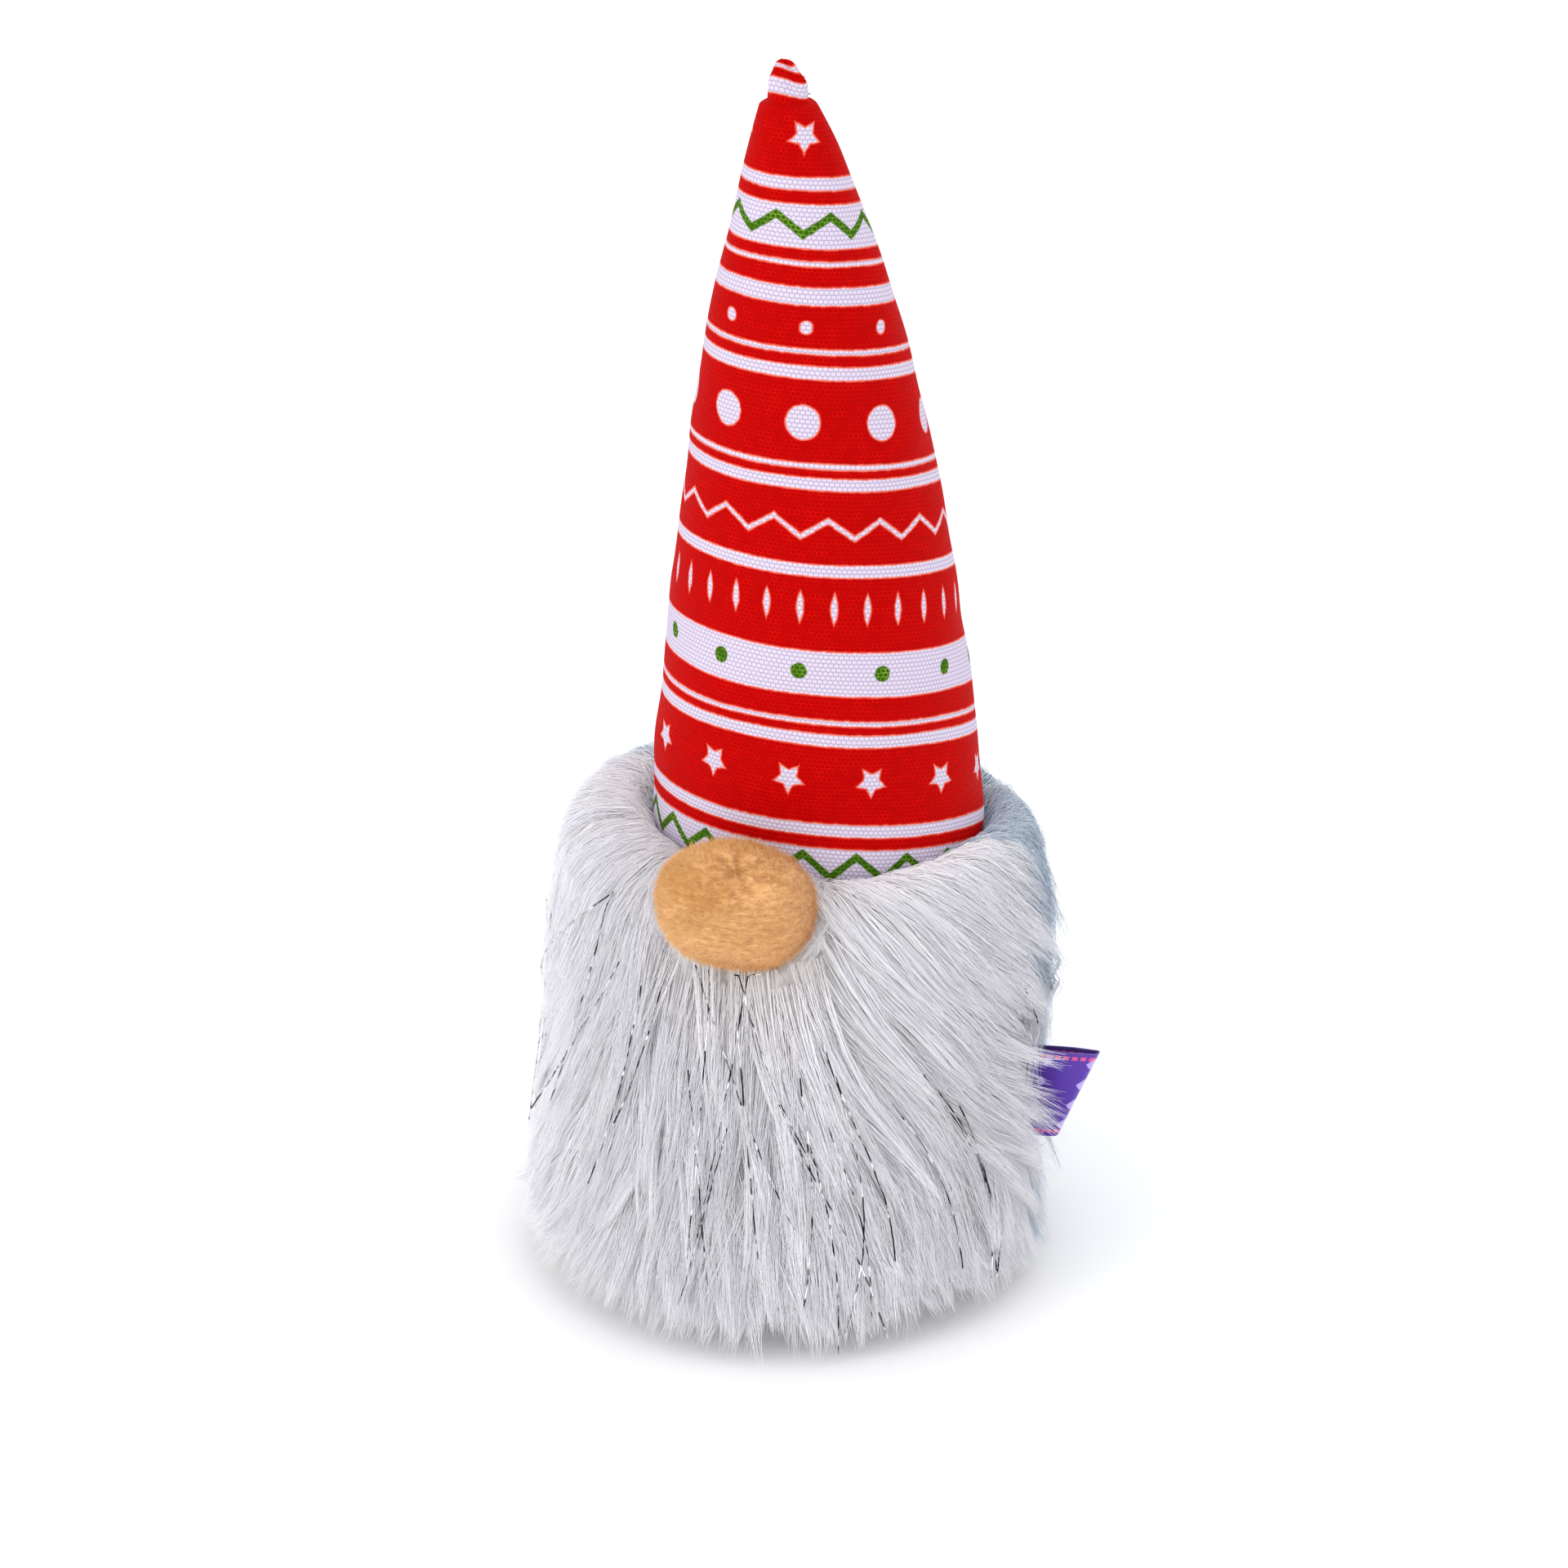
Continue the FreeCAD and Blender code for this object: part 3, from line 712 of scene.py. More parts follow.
    def yarns(self, add: Adder, x: bpy.types.NodeSocket,
              y: bpy.types.NodeSocket) -> tuple[bpy.types.Node, bpy.types.Node]:
        """The weave's raised cells.

        Args:
            add: adds a node to the material's tree.
            x: place across the cloth, mm.
            y: distance from the cloth's point, mm.

        Returns:
            The cells' height from 0 to 1, and a random value for each cell.
        """
        line = add(MATH, {0: y, 1: self.weave[1]}, operation="DIVIDE")
        row = add(MATH, {0: line}, operation="FLOOR")
        odd = add(MATH, {0: row, 1: 2.0, 2: 0.0}, operation="WRAP")
        place = add(MATH, {0: x, 1: self.weave[0]}, operation="DIVIDE")
        place = add(MATH, {0: odd, 1: 0.5, 2: place}, operation="MULTIPLY_ADD")
        column = add(MATH, {0: place}, operation="FLOOR")
        heights = []
        for coordinate in (place, line):
            part = add(MATH, {0: coordinate}, operation="FRACT")
            arch = add(MATH, {0: part, 1: math.pi}, operation="MULTIPLY")
            heights.append(add(MATH, {0: arch}, operation="SINE"))
        height = add(MATH, {0: heights[0], 1: heights[1]}, operation="MULTIPLY")
        cell = add("ShaderNodeCombineXYZ", {0: column, 1: row})
        chance = add("ShaderNodeTexWhiteNoise", {"Vector": cell}, noise_dimensions="2D")
        return height, chance

    def material(self) -> bpy.types.Material:
        """Build the finish on the cloth's own map, which is in metres.

        Returns:
            The material.
        """
        material, add = new_material("printed_polyester_canvas")
        cloth = add("ShaderNodeUVMap", uv_map="cloth")
        flat = add(VECTOR_MATH, {0: cloth, "Scale": 1 / MM}, operation="SCALE")
        axes = add("ShaderNodeSeparateXYZ", {0: flat})
        x, y = axes.outputs[0], axes.outputs[1]
        height, chance = self.yarns(add, x, y)
        # ink follows the yarns, so its edge steps by a fraction of a yarn
        ragged = add(MATH, {0: chance, 1: 0.16, 2: -0.08}, operation="MULTIPLY_ADD")
        white = None
        for start, width in self.white_stripes:
            middle = add(MATH, {0: y, 1: start + width / 2}, operation="SUBTRACT")
            middle = add(MATH, {0: middle}, operation="ABSOLUTE")
            inside = add(MATH, {0: width / 2, 1: middle}, operation="SUBTRACT")
            white = inside if white is None else add(MATH, {0: white, 1: inside}, operation="MAXIMUM")
        green = None
        for row in self.rows:
            inside = self.figure(add, row, x, y)
            if row.ink is Ink.WHITE:
                white = add(MATH, {0: white, 1: inside}, operation="MAXIMUM")
            else:
                green = inside if green is None else add(MATH, {0: green, 1: inside}, operation="MAXIMUM")
        white = add(MATH, {0: white, 1: ragged}, operation="ADD")
        green = add(MATH, {0: green, 1: ragged}, operation="ADD")
        # the ink lies on the crowns of the yarns, so on the red and green the gaps between them show paler;
        # on the white the gaps are grey, painted shade between the yarns
        gap = add("ShaderNodeMapRange", {"Value": height, "From Max": 0.42, "To Min": 1.0, "To Max": 0.0})
        chosen = add(
            "ShaderNodeMapRange",
            {"Value": chance, "From Min": 0.3, "From Max": 1.0, "To Min": 0.08, "To Max": 0.85},
        )
        speck = add(MATH, {0: gap, 1: chosen}, operation="MULTIPLY")
        red = add(
            "ShaderNodeMix", {0: speck, 6: linear(Ink.RED.value), 7: linear("#D81008")}, data_type="RGBA",
        )
        # white ink, greyer in the gaps between the yarns: painted shade
        pale = add(
            "ShaderNodeMix", {0: gap, 6: linear(Ink.WHITE.value), 7: linear("#A798B4")}, data_type="RGBA",
        )
        leaf = add(
            "ShaderNodeMix", {0: speck, 6: linear(Ink.GREEN.value), 7: linear("#93B545")}, data_type="RGBA",
        )
        bleed = add(
            "ShaderNodeMapRange", {"Value": white, "From Min": -0.55, "From Max": -0.05},
            interpolation_type="SMOOTHSTEP",
        )
        colour = add("ShaderNodeMix", {0: bleed, 6: red.outputs[2], 7: linear("#E8705A")}, data_type="RGBA")
        edge = add("ShaderNodeMapRange", {"Value": white, "From Min": -0.14, "From Max": 0.14})
        colour = add("ShaderNodeMix", {0: edge, 6: colour.outputs[2], 7: pale.outputs[2]}, data_type="RGBA")
        edge = add("ShaderNodeMapRange", {"Value": green, "From Min": -0.16, "From Max": 0.16})
        colour = add("ShaderNodeMix", {0: edge, 6: colour.outputs[2], 7: leaf.outputs[2]}, data_type="RGBA")
        rough = add("ShaderNodeMapRange", {"Value": chance, "To Min": 0.62, "To Max": 0.78})
        bump = add("ShaderNodeBump", {"Height": height, "Strength": 0.55, "Distance": 0.22 * MM})
        shader = add("ShaderNodeBsdfPrincipled", {
            "Base Color": colour.outputs[2], "Roughness": rough, "Normal": bump, "Specular IOR Level": 0.03,
        })
        add("ShaderNodeOutputMaterial", {"Surface": shader})
        return material


@dataclass(frozen=True)
class AcrylicPile:
    """Long faux fur: fine drawn acrylic fibres, paler at the tip and greyer at the root, where the grey is
    painted shade deep in the pile.
    """

    name: str
    tips: tuple[str, ...]
    root: str

    def material(self) -> bpy.types.Material:
        """Colour each hair by its own column of the hair map.

        Returns:
            The material.
        """
        material, add = new_material(self.name)
        axes = add("ShaderNodeSeparateXYZ", {0: add("ShaderNodeUVMap", uv_map="OFBake")})
        shades = add("ShaderNodeValToRGB", {"Fac": axes.outputs[0]})
        ramp = shades.color_ramp
        ramp.interpolation = "CONSTANT"
        for i, code in enumerate(self.tips):
            stop = ramp.elements[i] if i < 2 else ramp.elements.new(1.0)
            stop.position = i / len(self.tips)
            stop.color = linear(code)
        # the root colour is mixed in towards the root: painted shade deep in the pile
        along = add(
            "ShaderNodeMapRange", {"Value": axes.outputs[1], "From Max": 0.6, "To Min": 0.6, "To Max": 0.0},
        )
        colour = add(
            "ShaderNodeMix", {0: along, 6: shades.outputs["Color"], 7: linear(self.root)}, data_type="RGBA",
        )
        shader = add("ShaderNodeBsdfPrincipled", {
            "Base Color": colour.outputs[2], "Roughness": 0.5, "Specular IOR Level": 0.4,
            "Sheen Weight": 0.3, "Sheen Roughness": 0.5,
        })
        add("ShaderNodeOutputMaterial", {"Surface": shader})
        return material


@dataclass(frozen=True)
class SoftCloth:
    """A matt textile with fine mottling and a fibrous or knitted surface, on Object coordinates."""

    name: str
    light: str
    dark: str
    pitch: tuple[float, float, float]       # size of the surface's grain along X, Y and Z, mm
    depth: float = 0.25                     # height of the grain, mm
    sheen: float = 0.3
    roughness: float = 0.85
    rows: float = 0.0                       # spacing of knitted rows up the piece, mm; 0 for none

    def material(self) -> bpy.types.Material:
        """Mottle the colour and raise the grain with one stretched noise; with rows, also darken the creases
        between them as painted shade.

        Returns:
            The material.
        """
        material, add = new_material(self.name)
        place = add("ShaderNodeTexCoord")
        size = tuple(1 / (p * MM) for p in self.pitch)
        scaled = add("ShaderNodeMapping", {"Vector": place.outputs["Object"], "Scale": size})
        grain = add("ShaderNodeTexNoise", {"Vector": scaled, "Scale": 1.0, "Detail": 3.0})
        wide = add("ShaderNodeTexNoise", {"Vector": place.outputs["Object"], "Scale": 60.0, "Detail": 2.0})
        mixed = add(MATH, {0: grain.outputs["Fac"], 1: wide.outputs["Fac"]}, operation="MULTIPLY")
        share = add("ShaderNodeMapRange", {"Value": mixed, "From Min": 0.12, "From Max": 0.38})
        relief = grain.outputs["Fac"]
        if self.rows:
            upward = add("ShaderNodeSeparateXYZ", {0: place.outputs["Object"]}).outputs[2]
            wavy = add(MATH, {0: wide.outputs["Fac"], 1: 2.4 * MM, 2: upward}, operation="MULTIPLY_ADD")
            row = add(MATH, {0: wavy, 1: math.pi / (self.rows * MM)}, operation="MULTIPLY")
            row = add(MATH, {0: add(MATH, {0: row}, operation="SINE")}, operation="ABSOLUTE")
            # the colour darkens in the troughs between the knitted rows: painted shade in the creases
            ridge = add("ShaderNodeMapRange", {"Value": row, "From Max": 0.6, "To Min": 0.5})
            share = add(MATH, {0: share, 1: ridge}, operation="MULTIPLY")
            relief = add(MATH, {0: ridge, 1: 0.8, 2: relief}, operation="MULTIPLY_ADD")
        colour = add(
            "ShaderNodeMix", {0: share, 6: linear(self.dark), 7: linear(self.light)}, data_type="RGBA",
        )
        bump = add("ShaderNodeBump", {"Height": relief, "Strength": 0.7, "Distance": self.depth * MM})
        rough = add(
            "ShaderNodeMapRange",
            {
                "Value": grain.outputs["Fac"], "To Min": self.roughness - 0.08,
                "To Max": self.roughness + 0.08,
            },
        )
        shader = add("ShaderNodeBsdfPrincipled", {
            "Base Color": colour.outputs[2], "Roughness": rough, "Normal": bump,
            "Sheen Weight": self.sheen, "Sheen Roughness": 0.5, "Specular IOR Level": 0.25,
        })
        add("ShaderNodeOutputMaterial", {"Surface": shader})
        return material


@dataclass(frozen=True)
class TinselFilm:
    """Aluminised polyester film slit into strips: a mirror-bright metal with a slightly blue cast."""

    def material(self) -> bpy.types.Material:
        """Nearly smooth metal whose colour goes from near black to white from bend to bend: painted dark
        reflections and glints.

        Returns:
            The material.
        """
        material, add = new_material("aluminised_polyester_tinsel")
        place = add("ShaderNodeTexCoord")
        painted_glint_noise = add("ShaderNodeTexNoise", {"Vector": place.outputs["Object"], "Scale": 230.0, "Detail": 2.0})
        share = add("ShaderNodeMapRange", {"Value": painted_glint_noise.outputs["Fac"], "From Min": 0.5, "From Max": 0.58})
        # near black to white along the film: painted reflections and glints of the twisted strips
        colour = add(
            "ShaderNodeMix", {0: share, 6: linear("#191B1F"), 7: linear("#FFFFFF")}, data_type="RGBA",
        )
        rough = add("ShaderNodeMapRange", {"Value": painted_glint_noise.outputs["Fac"], "To Min": 0.12, "To Max": 0.3})
        shader = add(
            "ShaderNodeBsdfPrincipled",
            {"Base Color": colour.outputs[2], "Roughness": rough, "Metallic": 1.0},
        )
        add("ShaderNodeOutputMaterial", {"Surface": shader})
        return material


@dataclass(frozen=True)
class WovenRibbon:
    """Satin-woven polyester ribbon: fine ribs across its length, bright selvedges and a small woven trim."""

    ground: str = "#4A1C9C"
    trim: str = "#E0508C"
    figure: str = "#B9A4E6"
    width: float = 23.5     # mm

    def material(self) -> bpy.types.Material:
        """Build the ribbon on its own map: u along it and v across it, in metres.

        Returns:
            The material.
        """
        material, add = new_material("satin_woven_polyester_ribbon")
        cloth = add("ShaderNodeUVMap", uv_map="ribbon")
        flat = add(VECTOR_MATH, {0: cloth, "Scale": 1 / MM}, operation="SCALE")
        axes = add("ShaderNodeSeparateXYZ", {0: flat})
        along, across = axes.outputs[0], axes.outputs[1]
        rib = add(MATH, {0: along, 1: 2 * math.pi / 0.55}, operation="MULTIPLY")
        rib = add(MATH, {0: rib}, operation="SINE")
        warp = add(MATH, {0: across, 1: 2 * math.pi / 0.7}, operation="MULTIPLY")
        warp = add(MATH, {0: warp}, operation="SINE")
        weave = add(MATH, {0: rib, 1: warp}, operation="MULTIPLY")
        shade = add("ShaderNodeMapRange", {"Value": weave, "From Min": -1.0, "To Min": 0.0, "To Max": 0.45})
        ground = add(
            "ShaderNodeMix", {0: shade, 6: linear(self.ground), 7: linear("#6D3FC4")}, data_type="RGBA",
        )
        # two pin lines of trim just inside each selvedge
        middle = add(MATH, {0: across, 1: self.width / 2}, operation="SUBTRACT")
        side = add(MATH, {0: middle}, operation="ABSOLUTE")
        inset = add(MATH, {0: side, 1: self.width / 2 - 1.5}, operation="SUBTRACT")
        line = add(MATH, {0: inset, 1: 0.0, 2: 0.5}, operation="COMPARE")
        ticks = add(MATH, {0: along, 1: 2.2, 2: 0.0}, operation="WRAP")
        ticks = add(MATH, {0: ticks, 1: 1.4}, operation="LESS_THAN")
        line = add(MATH, {0: line, 1: ticks}, operation="MULTIPLY")
        colour = add(
            "ShaderNodeMix", {0: line, 6: ground.outputs[2], 7: linear(self.trim)}, data_type="RGBA",
        )
        # a row of woven lozenges down the middle
        cell = add(MATH, {0: across, 1: 5.7, 2: 0.0}, operation="WRAP")
        cell = add(MATH, {0: cell, 1: 2.85}, operation="SUBTRACT")
        cell = add(MATH, {0: cell}, operation="ABSOLUTE")
        reach = add(MATH, {0: along, 1: 12.0, 2: 0.0}, operation="WRAP")
        reach = add(MATH, {0: reach, 1: 6.0}, operation="SUBTRACT")
        reach = add(MATH, {0: reach}, operation="ABSOLUTE")
        spot = add(MATH, {0: cell, 1: reach}, operation="ADD")
        spot = add(MATH, {0: spot, 1: 1.5}, operation="LESS_THAN")
        colour = add(
            "ShaderNodeMix", {0: spot, 6: colour.outputs[2], 7: linear(self.figure)}, data_type="RGBA",
        )
        bump = add("ShaderNodeBump", {"Height": weave, "Strength": 0.4, "Distance": 0.08 * MM})
        rough = add("ShaderNodeMapRange", {"Value": weave, "From Min": -1.0, "To Min": 0.36, "To Max": 0.5})
        shader = add("ShaderNodeBsdfPrincipled", {
            "Base Color": colour.outputs[2], "Roughness": rough, "Normal": bump, "Sheen Weight": 0.25,
            "Anisotropic": 0.4,
        })
        add("ShaderNodeOutputMaterial", {"Surface": shader})
        return material


# ---- shared shapes -----------------------------------------------------------------------------
def turned_shell(name: str, rings: np.ndarray, uv: tuple[str, np.ndarray] | None = None) -> bpy.types.Object:
    """Close a stack of rings into a watertight shell with a fan at each end.

    Args:
        name: the piece's name.
        rings: rows, columns and XYZ; rows go upwards and columns counter-clockwise from above.
        uv: a map's name and its value at each row and column, with one column more than the rings.

    Returns:
        The shell.
    """
    rows, columns = rings.shape[:2]
    points = np.vstack([rings.reshape(-1, 3), rings[0].mean(0), rings[-1].mean(0)])
    low, high, last = rows * columns, rows * columns + 1, (rows - 1) * columns
    around = [(c, (c + 1) % columns) for c in range(columns)]
    faces = wall_faces(rows, columns, True)
    faces += [(low, b, a) for a, b in around] + [(high, last + a, last + b) for a, b in around]
    if uv is None:
        return mesh_object(name, points, faces)
    grid = uv[1]
    square = ((0, 0), (0, 1), (1, 1), (1, 0))
    corners = [grid[r + i, c + j] for r in range(rows - 1) for c in range(columns) for i, j in square]
    for c in range(columns):
        corners += [grid[0, c], grid[0, c + 1], grid[0, c]]
    for c in range(columns):
        corners += [grid[-1, c], grid[-1, c], grid[-1, c + 1]]
    return mesh_object(name, points, faces, (uv[0], np.array(corners)))


def ring_normals(rings: np.ndarray) -> np.ndarray:
    """Outward unit normals of rings that go upwards and counter-clockwise from above.

    Args:
        rings: rows, columns and XYZ.

    Returns:
        The normals, in the same shape.
    """
    around = np.roll(rings, -1, axis=1) - np.roll(rings, 1, axis=1)
    upward = np.gradient(rings, axis=0)
    normals = np.cross(around, upward)
    return normals / np.maximum(np.linalg.norm(normals, axis=2, keepdims=True), 1e-12)


def smooth_step(value: np.ndarray, low: float, high: float) -> np.ndarray:
    """Rise smoothly from 0 at low to 1 at high."""
    share = np.clip((value - low) / (high - low), 0, 1)
    return share * share * (3 - 2 * share)


def guide_object(name: str, lines: np.ndarray, out: np.ndarray) -> bpy.types.Object:
    """Make open lines for a tree to start from.

    Args:
        name: the object's name.
        lines: lines, points and XYZ, in metres.
        out: an outward direction for each point.

    Returns:
        The object, with the point attribute "out".
    """
    count, length = lines.shape[:2]
    mesh = bpy.data.meshes.new(name)
    edges = [(i * length + j, i * length + j + 1) for i in range(count) for j in range(length - 1)]
    mesh.from_pydata([tuple(p) for p in lines.reshape(-1, 3)], edges, [])
    attribute = mesh.attributes.new("out", "FLOAT_VECTOR", "POINT")
    attribute.data.foreach_set("vector", np.ascontiguousarray(out, np.float32).ravel())
    obj = bpy.data.objects.new(name, mesh)
    bpy.context.scene.collection.objects.link(obj)
    return obj


def subdivide_once(obj: bpy.types.Object) -> bpy.types.Object:
    """Smooth a shell with one level of subdivision and keep the result.

    Args:
        obj: the shell.

    Returns:
        The same object.
    """
    modifier = obj.modifiers.new("smooth", "SUBSURF")
    modifier.levels = modifier.render_levels = 1
    modifier.uv_smooth = "NONE"
    return settle(obj)


# ---- the hat -----------------------------------------------------------------------------------
@dataclass(frozen=True)
class HatSize:
    """The stuffed hat, in millimetres."""

    rim: float = 107.4
    belly: float = 116.0
    tip: float = 300.0
    radius: float = 40.2
    lean: float = 8.0
    sector: float = 0.205       # flat angle of the panel for each unit of angle about the hat
    columns: int = 128
    rows: int = 150


class Hat:
    """The hat: one sector of printed canvas, rolled to a cone, seamed down the back and stuffed."""

    def __init__(self, size: HatSize) -> None:
        """Args: size: the hat's dimensions."""
        self.size = size
        count = 4000
        self.heights = np.linspace(size.rim, size.tip - 0.15, count)
        self.radii = self.radius(self.heights)
        step = np.hypot(np.diff(self.heights), np.diff(self.radii))
        self.arc = np.concatenate([np.cumsum(step[::-1])[::-1], [0.0]]) + self.radii[-1]

    def radius(self, height: np.ndarray) -> np.ndarray:
        """Radius of the hat at a height, both in millimetres.

        Args:
            height: heights above the floor.

        Returns:
            The radii.
        """
        size = self.size
        share = np.clip((height - size.belly) / (size.tip + 0.01 - size.belly), 0, 1)
        cone = size.radius * (1 - share ** 1.25) ** 0.62
        cone -= 2.0 * (np.clip(size.belly - height, 0, None) / 9) ** 2
        cone -= 1.35 * np.exp(-(((height - 267) / 19) ** 2)) + 0.9 * np.exp(-(((height - 289) / 9) ** 2))
        tip = 4.7 * np.clip(1 - (np.clip(height - 291.5, 0, None) / 8.4) ** 4, 0.0005, 1) ** 0.25
        # the lesser of the two, with a soft change from one to the other
        soft = 0.9
        lesser = -soft * np.log(np.exp(-cone / soft) + np.exp(-tip / soft))
        return np.where(height > 290, lesser, cone).clip(0.4)

    def lean(self, height: np.ndarray) -> np.ndarray:
        """How far the hat's middle leans along X at a height, in millimetres.

        Args:
            height: heights above the floor.

        Returns:
            The shifts along X.
        """
        share = np.clip((height - 107) / 193, 0, None)
        side = 0.6 * smooth_step(height, 107, 135) + 0.9 * smooth_step(height, 278, 298)
        return -self.size.lean * share ** 2.2 - side

    def wall(self, angle: np.ndarray, arc: np.ndarray, lift: float = 0.0) -> np.ndarray:
        """Places on the hat's surface.

        Args:
            angle: angles from the front towards +X, in radians.
            arc: distances from the tip along the cloth, in millimetres.
            lift: how far outside the surface, in millimetres.

        Returns:
            XYZ in metres, of the common shape of angle and arc.
        """
        height = np.interp(arc, self.arc[::-1], self.heights[::-1])
        radius = self.radius(height) + lift
        gap = radius * np.abs(np.abs(angle) - math.pi)
        near = np.exp(-((gap / 6) ** 2))
        pucker = np.cos(arc * 2 * math.pi / 9.2) * near * 0.25 * np.clip(radius / 15, 0, 1)
        groove = 0.75 * np.exp(-((gap / 1.8) ** 2)) * np.clip(radius / 10, 0.3, 1)
        slack = 0.28 * smooth_noise(angle, arc, 14, 11) * np.clip(radius / 12, 0, 1)
        gather = 0.3 * np.cos(23 * angle + 2.5 * np.sin(3 * angle)) * np.exp(-((height - 107) / 6) ** 2)
        # the point was turned out through the seam, so its cloth is bunched
        bunch = np.exp(-((height - 297) / 5.5) ** 2)
        crush = bunch * (0.7 * np.cos(3 * angle + 0.6) + 0.35 * np.cos(7 * angle + height))
        radius = radius + pucker - groove + slack + gather + crush
        along_x = radius * np.sin(angle) * (1 + 0.1 * bunch) + self.lean(height)
        along_y = -radius * np.cos(angle) * (1 - 0.12 * bunch)
        sag = bunch * 0.9 * np.cos(2 * angle + 0.4) * np.clip(radius / 4, 0, 1)
        return np.stack(np.broadcast_arrays(along_x, along_y, height + sag), axis=-1) * MM

    def panel(self, finish: FolkPrint) -> bpy.types.Object:
        """Roll, seam and stuff the printed panel.

        Args:
            finish: the printed canvas.

        Returns:
            The hat's cloth.
        """
        size = self.size
        angle = np.linspace(-math.pi, math.pi, size.columns + 1)
        arc = np.linspace(self.arc[0], 0.9, size.rows)[:, None]
        rings = self.wall(angle[None, :-1], arc)
        under = []
        for inward, rise in ((32.0, 2.6), (24.0, 2.4), (5.0, 2.0), (2.2, 1.2), (0.7, 0.2)):
            ring = rings[0].copy()
            ring[:, :2] *= 1 - inward / 38.5
            ring[:, 2] += rise * MM
            under.append(ring)
        rings = np.concatenate([np.array(under), rings])
        arcs = np.concatenate([self.arc[0] + np.array([33.0, 25.0, 6.0, 3.5, 1.0]), arc[:, 0]])[:, None]
        height = np.interp(arcs, self.arc[::-1], self.heights[::-1])
        turn = size.sector * angle[None, :]
        across = self.radius(height) * np.sin(turn) / size.sector
        # the panel was cut a little off the print's line, and the filling stretches its middle
        down = arcs * np.cos(turn) - 0.02 * across + 0.0009 * (across - 14) ** 2
        self.fill = rings[3:-2:3, ::4] - 2.4 * MM * ring_normals(rings)[3:-2:3, ::4]
        obj = turned_shell("hat_printed_panel", rings, ("cloth", np.stack([across, down], -1) * MM))
        pinned = np.zeros((len(arcs), size.columns))
        pinned[:7] = 1.0
        pinned[-12:] = 1.0
        pinned[:, :2] = pinned[:, -1:] = 0.9
        inflate(obj, np.concatenate([pinned.ravel(), [1.0, 1.0]]), 4.0, 0.7 * MM)
        subdivide_once(obj)
        finish_piece(obj, "hat", finish.material(), ("hat_panel",))
        return obj

    def stuffing(self, fibre: bpy.types.Material) -> bpy.types.Object:
        """Fill the hat with fibre, a little inside its cloth.

        Args:
            fibre: the filling's finish.

        Returns:
            The filling.
        """
        obj = turned_shell("hat_fibre_fill", self.fill)
        finish_piece(obj, "hat", fibre, ("hat_stuffing",))
        return obj

    def seam(self, thread: bpy.types.Material) -> bpy.types.Object:
        """Sew the back seam with a slanted ladder of stitches.

        Args:
            thread: the thread's finish.

        Returns:
            The row of stitches.
        """
        arc = np.linspace(self.arc[0] - 7, 9, 90)
        line = self.wall(np.full_like(arc, math.pi), arc, 0.55)
        out = np.tile(np.array([0.0, 1.0, 0.25]), (len(arc), 1))
        guides = guide_object("seam_line", line[None], out[None])
        values = {"Pitch": 4.6 * MM, "Stitch length": 3.2 * MM, "Thread radius": 0.22 * MM, "Slant": 0.35}
        obj = grow("hat_seam_stitches", guides, stitch_tree(), {**values, "Material": thread})
        finish_piece(obj, "hat", thread, ("hat_back_seam_thread",))
        return obj


# ---- the nose ----------------------------------------------------------------------------------
@dataclass(frozen=True)
class NoseSize:
    """The stuffed nose, in millimetres."""

    centre: tuple[float, float, float] = (2.5, -56.3, 115.5)
    half: tuple[float, float, float] = (18.3, 13.6, 13.5)
    gathered: tuple[float, float, float] = (0.2, -0.42, 0.88)    # which way its drawstring end points
    columns: int = 96
    rows: int = 64


